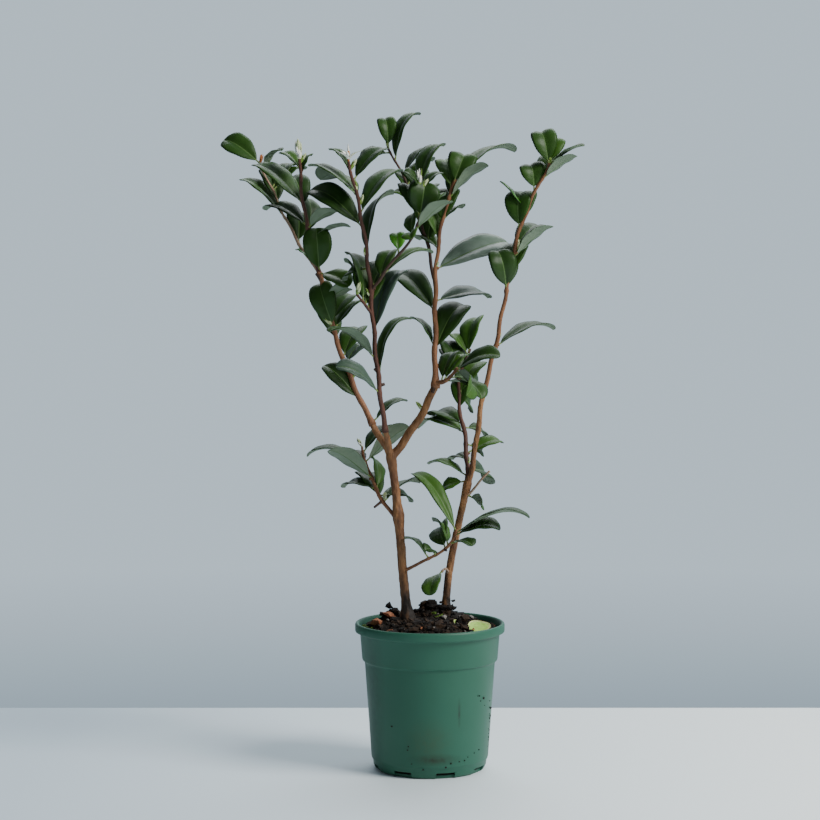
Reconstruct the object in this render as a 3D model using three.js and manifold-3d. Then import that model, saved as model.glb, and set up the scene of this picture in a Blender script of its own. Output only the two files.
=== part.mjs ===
// A young camellia shrub in its nursery pot, in millimetres, +Z up.
// The origin is the middle of the pot's flat underside. -Y is the plant's front, +X its right.
import * as THREE from 'three';
import { mergeVertices } from 'three/addons/utils/BufferGeometryUtils.js';
import Module from 'manifold-3d';

const wasm = await Module();
wasm.setup();

// Driving dimensions
const rimRadius = 66.3; // the pot's lip, outside
const potHeight = 130;
const wall = 1.5; // pot wall
const floorThickness = 2.6;
const clearance = 0.3; // between touching pieces
const groundLevel = 133; // top of the root ball at the stems
const soilEdge = 125; // top of the root ball along the pot wall
const soilBump = 2.2; // height of its lumps
const drainSlots = 8;
const slotWidth = 17;
const slotDepth = 5.5; // how far a slot cuts in from the pot's lower corner
const petiole = 3.6; // leaf stalk that shows outside the twig
const leafThickness = 1.0;
const usualLeaf = [44, 24]; // a usual leaf's length and width
const slimming = 0.55; // longer leaves are slimmer: width grows by this power of length
const leafFold = 14; // degrees that each half of a blade is raised
const leastCurl = 65; // degrees that a blade bends down in all, at the least
const droop = 5; // a steep blade bends until its tip has dropped this far below level
const chanceCurl = 10; // at most this much more by chance
const curlGrowth = 2.5; // a blade is straight at its foot and bends more and more to its tip
const budFatness = 0.22; // a bud's radius for its length
const twigStep = 13; // longest straight piece of a twig
const footTrim = 2; // cut off a stem's foot to make it level
const zigzag = 0.7; // how far a twig swings at each of its nodes
const nodeSpacing = 19;
const goldenAngle = 137.5; // from one leaf to the next round a shoot
const backBearings = [40, 140]; // the far side, that the spare leaves keep to
const coverReach = 7; // a point is covered from the front by a leaf or a limb this near beside it
const coverLeast = 0.9; // least share of a spare leaf's points that are covered
const leafRoom = 2.6; // least way between two leaves

// Colours and finish
const finish = (color, roughness) => new THREE.MeshStandardMaterial({ color, roughness, metalness: 0 });
const potPlastic = finish(0x305f4e, 0.55);
const compost = finish(0x2a1e18, 0.95);
const bark = finish(0x96603c, 0.8);
const foliage = finish(0x2c4c22, 0.4);

// Stems, boughs and shoots. Each grows from a share of the limb it is on, or from the ground.
// Its tip is its reach away from its foot, and bow and sway bend it to one side and in an S.
// radius is at the foot and the tip, and each knot is a share, what it adds and its half length.
const limbs = {
  stem_left: {
    ground: [-19.5, -8], reach: [-15, 3.4, 146], bow: [0.8, 0, 0], sway: [-0.6, 0, 0],
    radius: [4.2, 3.6], knots: [[0, 3.2, 9], [0.63, 1.5, 8], [0.98, 1, 8]],
  },
  stem_right: {
    ground: [14.4, 15.3], reach: [19.6, -1.2, 120], bow: [-3.4, -0.6, 0], sway: [-0.7, 0, 0],
    radius: [3.5, 3], knots: [[0, 3, 9], [0.97, 0.9, 7]],
  },
  bough_left: { on: 'stem_left', at: 0.985, reach: [-17, 4, 30], bow: [0.4, -0.7, 0], radius: [3.3, 2.8] },
  bough_middle: {
    on: 'stem_left', at: 0.99, reach: [-5, -8.5, 24], bow: [-0.5, -0.5, 0], radius: [2.8, 2.4],
  },
  bough_right: { on: 'stem_left', at: 0.985, reach: [39, 11, 62], bow: [2.4, 0, -1.5], radius: [3.7, 3.2] },
  bough_outer: {
    on: 'stem_right', at: 0.99, reach: [14, -12, 82], bow: [0.7, -0.4, 0], sway: [0.7, 0, 0],
    radius: [2.6, 2.2],
  },
  left_main: {
    on: 'bough_left', at: 1, reach: [-46.5, 12, 132], bow: [-5, 2.4, -1.9], radius: [2.6, 1.7],
    knots: [[0.98, 0.9, 5]],
  },
  left_far: {
    on: 'left_main', at: 1, reach: [-54, 30, 98], bow: [-3, 0, -1.8], sway: [-0.7, 0, 0],
    radius: [1.5, 0.8],
  },
  left_top: { on: 'left_main', at: 1, reach: [-16, -26, 98], bow: [-3.6, 1.3, 0], radius: [1.8, 1.3] },
  middle_main: {
    on: 'bough_middle', at: 1, reach: [-30.5, -42, 231], bow: [3.5, -1, 0], sway: [-2.2, 0, 0],
    radius: [2.3, 1.3], knots: [[0.53, 0.8, 5]],
  },
  middle_spur: {
    on: 'middle_main', at: 0.44, reach: [-12.6, -12, 17], bow: [0, 0, -0.6], radius: [1.2, 0.9],
  },
  middle_side: {
    on: 'middle_main', at: 0.53, reach: [41, -36, 87], bow: [10, -4.5, -5], sway: [-4, 0, 0],
    radius: [1.4, 0.9],
  },
  right_main: {
    on: 'bough_right', at: 1, reach: [18.5, 22, 184], bow: [-9, -2.9, 1.7], sway: [2, 0, 0],
    radius: [2.7, 1.1], knots: [[0.02, 0.9, 5]],
  },
  right_top: { on: 'right_main', at: 0.42, reach: [-43, 50, 135], bow: [8, 2.6, 1.5], radius: [1.7, 0.9] },
  right_side: { on: 'right_main', at: 0.02, reach: [19, -26, 13], bow: [0.5, -1.5, -4], radius: [1.9, 1.3] },
  inner_main: {
    on: 'stem_right', at: 0.99, reach: [3.4, 47, 118], bow: [-7.5, -2.7, 1.9], sway: [3.8, 0, 0],
    radius: [2.3, 1.1],
  },
  outer_main: {
    on: 'bough_outer', at: 1, reach: [56, -21, 199], bow: [-7, 0, 2.5], sway: [3, -1.4, -1],
    radius: [2.2, 1.2],
  },
  cut_twig: { on: 'stem_right', at: 0.88, reach: [22, -10, 25], bow: [0, -1, 0], radius: [1.2, 0.9] },
  low_left: { on: 'stem_left', at: 0.59, reach: [-33, 25, 65], bow: [-4.3, 0, -2.6], radius: [1.9, 1.0] },
  low_cross: {
    on: 'stem_left', at: 0.295, reach: [47, -17, 38.5], bow: [2.6, -5.3, -4.7], sway: [-1.4, 0, 1.4],
    radius: [1.5, 1.0],
  },
  low_foot: { on: 'stem_right', at: 0.31, reach: [-6.5, -18, 5], bow: [0, 0.5, 3.8], radius: [1.3, 0.9] },
};

// Leaves that the front of the plant shows, shoot by shoot. Each is its share of the shoot, its bearing,
// its rise, its length and how many degrees its face is turned to the front. A slender one adds its width,
// and one that is flatter than usual adds a width of 0 or its own, and its curl.
const leaves = {
  left_main: [[0, 20, 45, 34, 5], [0.15, 175, 50, 42, 50, 0, 50], [0.4, 60, 45, 30, 0],
    [0.64, 220, 65, 42, 130, 25, 100], [0.81, 325, 35, 26, -25, 0, 50], [1, 310, -5, 34, 30],
    [1, 265, 60, 38, 170, 26, 90]],
  left_far: [[0.52, 155, 50, 54, 0, 0, 50], [0.93, 320, 55, 26, 10], [1, 165, 40, 40, 50, 0, 50],
    [0.1, 155, 50, 16, 5]],
  left_top: [[0.29, 0, 30, 34, -10, 0, 50], [0.34, 65, 75, 36, 60], [0.4, 315, 30, 36, 0, 0, 40],
    [0.42, 145, 35, 50, 10], [0.61, 170, 50, 56, 30, 0, 60], [0.84, 35, 80, 20, 0],
    [0.91, 140, 50, 24, 0]],
  middle_main: [[0.14, 225, 40, 46, 50], [0.2, 50, 80, 60, -35], [0.27, 215, 45, 52, 0],
    [0.37, 30, 80, 64, 15], [0.61, 140, -5, 28, 40], [0.66, 85, 65, 68, -60],
    [0.76, 155, 45, 62, 30, 0, 60], [0.81, 45, 55, 60, -5], [0.89, 165, 40, 46, 15, 0, 50],
    [0.93, 30, 55, 42, 15], [0.96, 145, 60, 26, -10], [0.87, 120, 35, 60, -15]],
  middle_spur: [[0.64, 90, 80, 48, 55], [0.94, 95, 60, 36, -60]],
  middle_side: [[0.12, 65, 60, 34, -5], [0.19, 15, 40, 46, 5], [0.4, 100, 70, 20, 0, 14],
    [0.57, 95, 55, 30, 50], [0.64, 320, 40, 40, 0, 0, 35], [0.74, 115, 60, 42, 10],
    [0.74, 290, 65, 30, 160, 29, 100], [0.98, 55, 75, 46, -20], [0.98, 230, 50, 18, 60],
    [0.6, 260, 5, 24, -25], [0.95, 30, 55, 24, 0]],
  right_main: [[0.16, 45, 60, 58, 20], [0.18, 140, 60, 32, -15], [0.35, 130, 45, 62, 15, 0, 60],
    [0.4, 30, 15, 56, 25, 0, 55], [0.55, 30, 25, 76, 30, 0, 25], [0.65, 120, 30, 32, 0],
    [0.79, 45, 40, 24, 0], [0.9, 350, 50, 42, -10, 0, 45], [0.97, 0, 70, 32, 90, 26, 115],
    [0.99, 40, 40, 74, -10]],
  right_top: [[0.62, 150, 35, 22, 20], [0.8, 40, 55, 40, -10], [0.9, 50, 80, 52, -25],
    [0.96, 160, 0, 32, 40], [0.99, 250, 85, 30, 150, 17.5, 115]],
  right_side: [[0.21, 55, 65, 32, -5], [0.45, 315, 0, 44, -5], [0.66, 40, 0, 34, 30],
    [0.95, 320, 30, 42, 45], [0.95, 300, -20, 42, -60]],
  inner_main: [[0.02, 165, -10, 22, 45], [0.05, 155, 30, 36, 0], [0.1, 60, -5, 48, 40],
    [0.17, 120, 10, 22, 15], [0.21, 10, 30, 32, 30], [0.28, 35, -15, 20, 60], [0.36, 135, 20, 58, 5],
    [0.4, 35, -5, 24, 35], [0.42, 135, 25, 40, 20], [0.63, 55, -20, 24, 60], [0.83, 50, -20, 38, 60],
    [0.95, 135, 55, 26, 0], [0.96, 80, 70, 40, -30]],
  outer_main: [[0.2, 30, 30, 60, 0], [0.44, 255, 65, 36, 150, 26, 115], [0.58, 345, 45, 40, -15, 0, 35],
    [0.7, 210, 85, 36, 140, 25, 115], [0.78, 160, 52, 32, 0, 13, 20], [0.87, 225, 85, 25, 120, 22, 115],
    [0.93, 345, 40, 32, -20, 0, 35], [0.99, 200, 80, 34, 100, 24, 115], [1, 340, 35, 30, 0, 0, 35],
    [1, 45, 72, 28, 45, 19, 105]],
  low_left: [[0.82, 10, 45, 46, -40, 0, 30], [0.3, 45, 35, 42, -15], [0.39, 40, 5, 36, 20],
    [0.46, 80, 60, 32, 60], [0.48, 145, 15, 34, 10], [0.62, 205, 40, 46, -35, 0, 35],
    [0.8, 120, 35, 24, -15], [0.86, 175, 20, 50, 5]],
  low_cross: [[0.45, 145, 50, 26, -15], [0.56, 250, 30, 18, 30], [0.71, 105, 35, 38, 45],
    [0.81, 315, 15, 22, 5], [0.93, 355, 25, 38, 15], [0.97, 345, 30, 66, 5],
    [0.98, 145, 60, 72, 20, 16, 75], [0.76, 105, 50, 30, -45]],
  low_foot: [[0.96, 240, -20, 28, -15]],
  cut_twig: [[0.12, 315, -15, 20, -60]],
};

// Buds that show: share of the shoot, bearing, rise and length.
const buds = {
  left_main: [[0.3, 20, 60, 9], [0.66, 200, 45, 13]],
  left_far: [[1, 60, 70, 9]],
  left_top: [[1, 200, 85, 18], [0.97, 10, 60, 10]],
  middle_main: [[0.5, 200, 60, 9], [0.64, 190, 80, 11], [0.84, 20, 70, 10], [0.89, 190, 75, 13],
    [0.97, 20, 60, 11], [1, 250, 85, 15]],
  middle_spur: [[1, 300, 60, 12]],
  middle_side: [[1, 280, 85, 15], [0.97, 20, 55, 12]],
  right_main: [[0.55, 350, 70, 7], [1, 160, 70, 14]],
  right_top: [[1, 120, 80, 9]],
  inner_main: [[0.12, 20, 80, 8]],
  outer_main: [[0.22, 20, 70, 9], [0.6, 20, 70, 12], [1, 90, 80, 9]],
  low_left: [[0.3, 60, 70, 9], [1, 200, 60, 9]],
};

// A mass of foliage is its shoots, and it grows from what its first shoot is on.
// spare leaves are tries at the ones that only the back of the plant shows, which the seeded rule adds.
const masses = {
  foliage_left: { shoots: ['left_main', 'left_far', 'left_top'], spare: 26, seed: 11 },
  foliage_middle: { shoots: ['middle_main', 'middle_spur', 'middle_side'], spare: 60, seed: 23 },
  foliage_right: { shoots: ['right_main', 'right_top', 'right_side'], spare: 32, seed: 37 },
  foliage_inner: { shoots: ['inner_main'], spare: 10, seed: 41 },
  foliage_outer: { shoots: ['outer_main'], spare: 14, seed: 53 },
  foliage_low_left: { shoots: ['low_left'], spare: 10, seed: 67 },
  foliage_low_right: { shoots: ['low_cross'], spare: 0, seed: 71 },
  foliage_foot: { shoots: ['low_foot'], spare: 0, seed: 83 },
  twig_cut: { shoots: ['cut_twig'], spare: 0, seed: 97 },
};

const radians = THREE.MathUtils.degToRad;
const vector = (list = [0, 0, 0]) => new THREE.Vector3(...list);

// Seeded numbers from 0 to 1, the same on every run
function seeded(seed) {
  let state = seed;
  return () => {
    state = (state * 1664525 + 1013904223) % 4294967296;
    return state / 4294967296;
  };
}

// A limb's middle line: straight to its tip, with its bow, its sway and a small swing at each node
function middle(name, share) {
  const limb = limbs[name];
  const foot = limb.ground ? vector([...limb.ground, groundLevel]) : middle(limb.on, limb.at);
  const reach = vector(limb.reach);
  const nodes = Math.max(1, Math.round(reach.length() / nodeSpacing));
  const swing = zigzag * Math.sin(Math.PI * nodes * share) * Math.min(1, 8 * share);
  return foot
    .addScaledVector(reach, share)
    .addScaledVector(vector(limb.bow), 4 * share * (1 - share))
    .addScaledVector(vector(limb.sway), Math.sin(2 * Math.PI * share))
    .add(new THREE.Vector3(limb.ground ? 0 : swing, limb.ground ? 0 : swing / 2, 0));
}

function thickness(name, share) {
  const { radius, knots = [], reach } = limbs[name];
  const along = share * vector(reach).length();
  const added = knots.map(([at, extra, half]) => {
    const away = (along - at * vector(reach).length()) / half;
    return extra * Math.exp(-away * away);
  });
  return THREE.MathUtils.lerp(radius[0], radius[1], share) + added.reduce((sum, extra) => sum + extra, 0);
}

function direction(name, share) {
  const step = 0.02;
  const before = middle(name, Math.max(0, share - step));
  return middle(name, Math.min(1, share + step)).sub(before).normalize();
}

// A closed tube of rings, each vertex of which is put in its place by a share, an x and a z
function rings(sides, steps, place) {
  const geometry = new THREE.CylinderGeometry(1, 1, 1, sides, steps);
  const points = geometry.attributes.position;
  for (let i = 0; i < points.count; i++) {
    const share = Math.round((points.getY(i) + 0.5) * steps) / steps;
    const point = place(share, points.getX(i), points.getZ(i));
    points.setXYZ(i, point.x, point.y, point.z);
  }
  return geometry;
}

function solid(geometry) {
  geometry.deleteAttribute('normal');
  geometry.deleteAttribute('uv');
  const merged = mergeVertices(geometry, 1e-4);
  const vertProperties = new Float32Array(merged.attributes.position.array);
  const triVerts = new Uint32Array(merged.index.array);
  return new wasm.Manifold(new wasm.Mesh({ numProp: 3, vertProperties, triVerts }));
}

// The limb itself, or with swell the room it needs, which its neighbours are cut by
function limbSolid(name, sides, swell = 0) {
  const length = vector(limbs[name].reach).length();
  const steps = Math.ceil(length / twigStep);
  return solid(rings(sides, steps, (share, x, z) => {
    const along = direction(name, share);
    const side = new THREE.Vector3(0, 1, 0).cross(along).normalize();
    const out = side.clone().cross(along);
    const size = thickness(name, share) + swell;
    const foot = limbs[name].ground ? -footTrim : -swell;
    const end = share === 0 ? foot : share === 1 ? swell : 0;
    return middle(name, share)
      .addScaledVector(side, x * size)
      .addScaledVector(out, z * size)
      .addScaledVector(along, end);
  }));
}

// A leaf's frame: it sets off along its bearing and rise, with its upper face turned to the front by face
function leafFrame(bearing, rise, face) {
  const b = radians(bearing);
  const r = radians(rise);
  const along = new THREE.Vector3(Math.cos(r) * Math.cos(b), Math.cos(r) * Math.sin(b), Math.sin(r));
  const level = new THREE.Vector3(-Math.sin(b), Math.cos(b), 0);
  const turn = radians(Math.cos(b) > 0 ? -face : face);
  const up = along.clone().cross(level).applyAxisAngle(along, -turn);
  return { along, up, side: up.clone().cross(along) };
}

// How far a blade has turned down from its first direction at a share of its length
const turned = (leaf, share) => radians(leaf.curl) * Math.max(0, share) ** curlGrowth;

// The middle of a leaf at a share of its blade, which bends down by its curl. Below 0 it is the stalk.
function rib(leaf, share) {
  const { along, up } = leaf.frame;
  const point = leaf.foot.clone().addScaledVector(along, leaf.stalk * (1 + Math.min(0, share)));
  const steps = share > 0 ? 10 : 0;
  for (let i = 0; i < steps; i++) {
    const angle = turned(leaf, ((i + 0.5) / steps) * share);
    point.addScaledVector(along, (Math.cos(angle) * leaf.length * share) / steps);
    point.addScaledVector(up, (-Math.sin(angle) * leaf.length * share) / steps);
  }
  return point;
}

// The blade's half width: a narrow foot, widest well past the middle, and a blunt end
function halfWidth(leaf, share) {
  const outline = (Math.max(0, share) ** 0.8 * Math.max(0, 1 - share) ** 0.5) / 0.4206;
  return Math.max(leafThickness / 2, leaf.width / 2 * outline);
}

function leafSolid(leaf) {
  const stations = [-1, 0, 0.2, 0.5, 0.76, 0.93, 1];
  const last = stations.length - 1;
  const fold = Math.sin(radians(leafFold));
  return solid(rings(4, last, (step, x, z) => {
    const share = stations[Math.round(step * last)];
    const half = halfWidth(leaf, share);
    const angle = turned(leaf, share);
    const up = leaf.frame.up.clone().multiplyScalar(Math.cos(angle))
      .addScaledVector(leaf.frame.along, Math.sin(angle));
    return rib(leaf, share)
      .addScaledVector(leaf.frame.side, x * half)
      .addScaledVector(up, Math.abs(x) * half * fold - z * leafThickness / 2);
  }));
}

function budSolid(name, [at, bearing, rise, length]) {
  const foot = middle(name, at);
  const { along, up, side } = leafFrame(bearing, rise, 0);
  const outline = [0.45, 1, 0.75, 0.12];
  return solid(rings(5, outline.length - 1, (share, x, z) => {
    const size = length * budFatness * outline[Math.round(share * (outline.length - 1))];
    return foot.clone()
      .addScaledVector(along, share * (length + thickness(name, at)))
      .addScaledVector(side, x * size)
      .addScaledVector(up, -z * size);
  }));
}

// The leaves of a mass: the ones that show, then spare ones that turn by the golden angle round its
// shoots on the far side. The same seeded numbers give each its width and how far it arches.
function massLeaves({ shoots, spare, seed }) {
  const random = seeded(seed);
  const grown = [];
  const grow = (name, [at, bearing, rise, length, face, width = 0, curl = 0], isSpare) => {
    const leaf = { name, foot: middle(name, at), length, isSpare, frame: leafFrame(bearing, rise, face) };
    leaf.stalk = petiole + thickness(name, at);
    const usual = usualLeaf[1] * (length / usualLeaf[0]) ** slimming;
    leaf.width = (width || usual) * (0.92 + 0.16 * random());
    const usualCurl = Math.max(leastCurl, rise + droop) + chanceCurl * random();
    leaf.curl = curl || usualCurl;
    grown.push(leaf);
  };
  for (const name of shoots) {
    for (const leaf of leaves[name] ?? []) grow(name, leaf, false);
  }
  for (let i = 0; i < spare; i++) {
    const name = shoots[i % shoots.length];
    const at = 0.25 + 0.7 * random();
    const bearing = backBearings[0] + (i * goldenAngle) % (backBearings[1] - backBearings[0]);
    grow(name, [at, bearing, 40 + 30 * random(), 34 + 12 * random(), 0], true);
  }
  return grown;
}

// Points spread over a leaf, to keep it clear of its neighbours
function leafPoints(leaf) {
  const points = [];
  for (const share of [0.36, 0.5, 0.65, 0.8, 0.95]) {
    for (const x of [-0.9, -0.45, 0, 0.45, 0.9]) {
      points.push(rib(leaf, share).addScaledVector(leaf.frame.side, x * halfWidth(leaf, share)));
    }
  }
  return points;
}

const massOf = (limb) => Object.keys(masses).find((mass) => masses[mass].shoots.includes(limb)) ?? limb;
const taken = Object.keys(limbs).flatMap((name) => Array.from({ length: 41 }, (_, i) => ({
  point: middle(name, i / 40), room: thickness(name, i / 40) + leafRoom / 2, mass: massOf(name),
})));

// A leaf is skipped where it would touch another mass or limb. A spare one is also skipped where it is
// crowded at all, or where it would fill one of the gaps that the plant shows from the front.
function hasRoom(leaf, mass) {
  const points = leafPoints(leaf);
  const crowded = points.some((point) => taken.some((other) => (
    (other.mass !== mass || (leaf.isSpare && other.leaf)) && point.distanceTo(other.point) < other.room
  )));
  const covered = points.filter((point) => taken.some((other) => (
    other.point.y < point.y && Math.hypot(other.point.x - point.x, other.point.z - point.z) < coverReach
  )));
  const fits = !crowded && (!leaf.isSpare || covered.length >= coverLeast * points.length);
  if (fits) taken.push(...points.map((point) => ({ point, room: leafRoom, mass, leaf: true })));
  return fits;
}

const stemsAndBoughs = Object.keys(limbs).filter((name) => /^(stem|bough)/.test(name));
const stemSides = 10;
const twigSides = 6;
const parts = new Map();

const belowGround = solid(new THREE.BoxGeometry(200, 200, 40).translate(0, 0, groundLevel - 20));

// Stems whole, and boughs cut clear of the stems and of the boughs before them
stemsAndBoughs.forEach((name, i) => {
  const before = limbs[name].on ? stemsAndBoughs.slice(0, i) : [];
  const cut = before.reduce(
    (limb, other) => limb.subtract(limbSolid(other, stemSides, clearance)),
    limbSolid(name, stemSides).subtract(belowGround),
  );
  parts.set(name, largest(cut));
});

function largest(shape) {
  return shape.decompose().sort((a, b) => b.volume() - a.volume())[0];
}

// The leaves that show in front come before all the spare ones
const kept = Object.fromEntries(Object.keys(masses).map((name) => [name, []]));
for (const isSpare of [false, true]) {
  for (const [name, mass] of Object.entries(masses)) {
    const grown = massLeaves(mass).filter((leaf) => leaf.isSpare === isSpare);
    for (const leaf of grown) if (hasRoom(leaf, name)) kept[name].push(leaf);
  }
}

for (const [name, mass] of Object.entries(masses)) {
  let shape = limbSolid(mass.shoots[0], twigSides);
  for (const shoot of mass.shoots.slice(1)) shape = shape.add(limbSolid(shoot, twigSides));
  for (const leaf of kept[name]) shape = shape.add(leafSolid(leaf));
  for (const shoot of mass.shoots) {
    for (const bud of buds[shoot] ?? []) shape = shape.add(budSolid(shoot, bud));
  }
  for (const limb of stemsAndBoughs) shape = shape.subtract(limbSolid(limb, stemSides, clearance));
  parts.set(name, largest(shape));
}

// The pot: turned about its axis, with its foot step, collar and turned-out lip, then slotted
function pot() {
  const outside = [
    [0, 0], [45.5, 0], [48.4, 1.4], [50, 4.6], [50.6, 9], [51.6, 10], [57.8, 95.5], [60, 97.5],
    [61.8, 121], [65, 122], [rimRadius, 123.6], [rimRadius, potHeight - 1.8], [65.2, potHeight],
  ];
  const inside = [
    [63.8, potHeight], [62.4, potHeight - 2], [61.8 - wall, 121], [60 - wall, 98.6], [57.8 - wall, 96.5],
    [51.6 - wall, 10], [47.5, floorThickness + 0.8], [45.5, floorThickness], [0, floorThickness],
  ];
  const profile = [...outside, ...inside].map(([r, z]) => new THREE.Vector2(r, z));
  let shape = solid(new THREE.LatheGeometry(profile, 40).rotateX(Math.PI / 2));
  for (let i = 0; i < drainSlots; i++) {
    const slot = new THREE.BoxGeometry(2 * slotDepth, slotWidth, 2 * slotDepth)
      .translate(51.5, 0, 0)
      .rotateZ((2 * Math.PI * (i + 0.35)) / drainSlots);
    shape = shape.subtract(solid(slot));
  }
  return shape;
}

// The root ball: it fills the pot, and its top swells up to the stems, lumpy but level at their feet
function rootBall() {
  const gap = clearance;
  const side = [
    [0, floorThickness + gap], [45, floorThickness + gap], [51.2 - wall - gap, 10.5],
    [57.3 - wall - gap, 96.5], [59.5 - wall - gap, 98.9], [61.6 - wall - gap, 121], [60.5, soilEdge],
  ];
  const topRings = [54, 45, 36, 27, 18, 9, 0];
  const top = topRings.map((r) => [r, soilHeight(r)]);
  const profile = [...side, ...top].map(([r, z]) => new THREE.Vector2(r, z));
  const geometry = new THREE.LatheGeometry(profile, 36).rotateX(Math.PI / 2);
  const points = geometry.attributes.position;
  const feet = [limbs.stem_left.ground, limbs.stem_right.ground];
  for (let i = 0; i < points.count; i++) {
    const [x, y, z] = [points.getX(i), points.getY(i), points.getZ(i)];
    const near = Math.min(...feet.map(([fx, fy]) => Math.hypot(x - fx, y - fy)));
    const off = THREE.MathUtils.smoothstep(near, 15, 23);
    const free = off * THREE.MathUtils.smoothstep(z, soilEdge, soilEdge + 2);
    const lump = Math.sin(x * 0.31 + 1) * Math.cos(y * 0.27) + 0.5 * Math.sin(x * 0.7 - y * 0.53);
    points.setZ(i, z + free * soilBump * lump);
  }
  return solid(geometry);
}

function soilHeight(r) {
  const level = groundLevel - clearance;
  return THREE.MathUtils.lerp(level, soilEdge, THREE.MathUtils.smoothstep(r, 34, 61));
}

function mesh(name, shape, material) {
  const { vertProperties, triVerts, numProp } = shape.getMesh();
  const geometry = new THREE.BufferGeometry();
  const positions = new Float32Array((vertProperties.length / numProp) * 3);
  for (let i = 0; i < positions.length; i++) {
    positions[i] = vertProperties[Math.floor(i / 3) * numProp + (i % 3)];
  }
  geometry.setAttribute('position', new THREE.BufferAttribute(positions, 3));
  geometry.setIndex(new THREE.BufferAttribute(new Uint32Array(triVerts), 1));
  geometry.computeVertexNormals();
  const object = new THREE.Mesh(geometry, material);
  object.name = name;
  return object;
}

const group = new THREE.Group();
group.add(mesh('pot', pot(), potPlastic));
group.add(mesh('root_ball', rootBall(), compost));
for (const [name, shape] of parts) {
  group.add(mesh(name, shape, name.startsWith('foliage') ? foliage : bark));
}

export default group;
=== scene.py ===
"""A young camellia shrub in its green nursery pot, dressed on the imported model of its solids.

Sizes are in millimetres, but for the studio, and are made metres where a mesh is built. -Y is the front.
The plant grows by the same rule as its solids: limbs, shoots along them, then leaves on the shoots.
"""
import math

import bmesh
import bpy
import numpy as np
from mathutils import Matrix, Vector, noise


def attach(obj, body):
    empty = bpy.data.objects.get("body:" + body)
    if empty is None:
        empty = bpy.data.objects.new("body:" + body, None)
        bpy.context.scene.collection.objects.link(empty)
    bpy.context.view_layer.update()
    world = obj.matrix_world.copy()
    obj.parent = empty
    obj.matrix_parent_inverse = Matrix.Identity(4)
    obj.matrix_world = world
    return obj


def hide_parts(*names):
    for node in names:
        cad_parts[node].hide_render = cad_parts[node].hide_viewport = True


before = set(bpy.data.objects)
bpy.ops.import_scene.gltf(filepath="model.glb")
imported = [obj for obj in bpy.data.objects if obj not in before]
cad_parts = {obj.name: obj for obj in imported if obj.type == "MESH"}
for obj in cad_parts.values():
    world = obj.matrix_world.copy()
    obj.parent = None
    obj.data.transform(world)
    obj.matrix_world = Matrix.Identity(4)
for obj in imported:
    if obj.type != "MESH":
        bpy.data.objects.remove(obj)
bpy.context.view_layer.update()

MM = 0.001


def select_none():
    bpy.ops.object.select_all(action="DESELECT")


def make_active(piece):
    select_none()
    piece.select_set(True)
    bpy.context.view_layer.objects.active = piece


def add_node(tree, kind, values=(), **settings):
    """A shader node with its settings, and values for its inputs by name or number."""
    made = tree.nodes.new("ShaderNode" + kind)
    for name, value in settings.items():
        setattr(made, name, value)
    for name, value in dict(values).items():
        made.inputs[name].default_value = value
    return made


def wire(tree, *wires):
    """Each wire runs from one node's output to another node's input."""
    for source, output, target, entry in wires:
        tree.links.new(source.outputs[output], target.inputs[entry])


def new_material(name, roughness, specular):
    material = bpy.data.materials.new(name)
    material.use_nodes = True
    shader = material.node_tree.nodes["Principled BSDF"]
    shader.inputs["Roughness"].default_value = roughness
    shader.inputs["Specular IOR Level"].default_value = specular
    return material, material.node_tree, shader


# Camera
# The photo's view: from 1.9 m in front and a little above the plant, through a long lens.
CAMERA_LENS = 94.4
SENSOR_WIDTH = 36
CAMERA_PLACE = (-17.6, -1892, 426)
CAMERA_DIP = 3.26
camera_data = bpy.data.cameras.new("camera")
camera_data.lens = CAMERA_LENS
camera_data.sensor_width = SENSOR_WIDTH
camera = bpy.data.objects.new("camera", camera_data)
camera.location = [value * MM for value in CAMERA_PLACE]
camera.rotation_euler = (math.radians(90 - CAMERA_DIP), 0, 0)
bpy.context.scene.collection.objects.link(camera)
bpy.context.scene.camera = camera


# Studio
# A pale table top whose back edge shows behind the pot, a plain grey-blue wall behind it and large soft
# lights: the main one above and to the right, one behind that glances off the leaves, a weak one left.
# Sizes and places in this section are in metres.
def studio_light(name, place, aim, size, power, colour):
    data = bpy.data.lights.new(name, "AREA")
    data.shape = "RECTANGLE"
    data.size, data.size_y = size
    data.energy = power
    data.color = colour
    light = bpy.data.objects.new(name, data)
    light.location = place
    light.rotation_euler = (Vector(aim) - Vector(place)).to_track_quat("-Z", "Y").to_euler()
    bpy.context.scene.collection.objects.link(light)


studio_light("light_main", (2.1, -1.15, 2.1), (0, 0, 0.3), (1.3, 1.2), 118, (1.0, 0.985, 0.955))
studio_light("light_left", (-2.4, -1.1, 1.4), (0, 0, 0.3), (1.2, 1.6), 2, (0.95, 0.98, 1.0))
studio_light("light_back", (0.4, 1.7, 2.1), (0, 0, 0.4), (2.6, 1.2), 34, (0.97, 0.99, 1.0))

# Painted light: the table's colour grows lighter from the left to the right of the pot, standing in for the
# main light falling from the right.
TABLE_CENTRE, TABLE_SIZE = (0, -0.865, 0), (5.0, 2.27)
TABLE_LIGHT_FADE = 0.35
TABLE_SHADED_LEFT, TABLE_LIT_RIGHT = (0.57, 0.68, 0.76, 1), (0.92, 0.99, 1.0, 1)
select_none()
bpy.ops.mesh.primitive_plane_add(size=1, location=TABLE_CENTRE)
table_top = bpy.context.object
table_top.name = "table_top"
table_top.scale = (*TABLE_SIZE, 1)
bpy.ops.object.transform_apply(location=True, rotation=True, scale=True)
table_paint, table_tree, table_shader = new_material("table_paint", 0.7, 0.5)
table_way = add_node(table_tree, "TexCoord")
table_split = add_node(table_tree, "SeparateXYZ")
table_light_reach = add_node(table_tree, "MapRange", {"From Min": -TABLE_LIGHT_FADE, "From Max": TABLE_LIGHT_FADE})
table_painted_light = add_node(table_tree, "Mix", {"A": TABLE_SHADED_LEFT, "B": TABLE_LIT_RIGHT}, data_type="RGBA")
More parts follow.
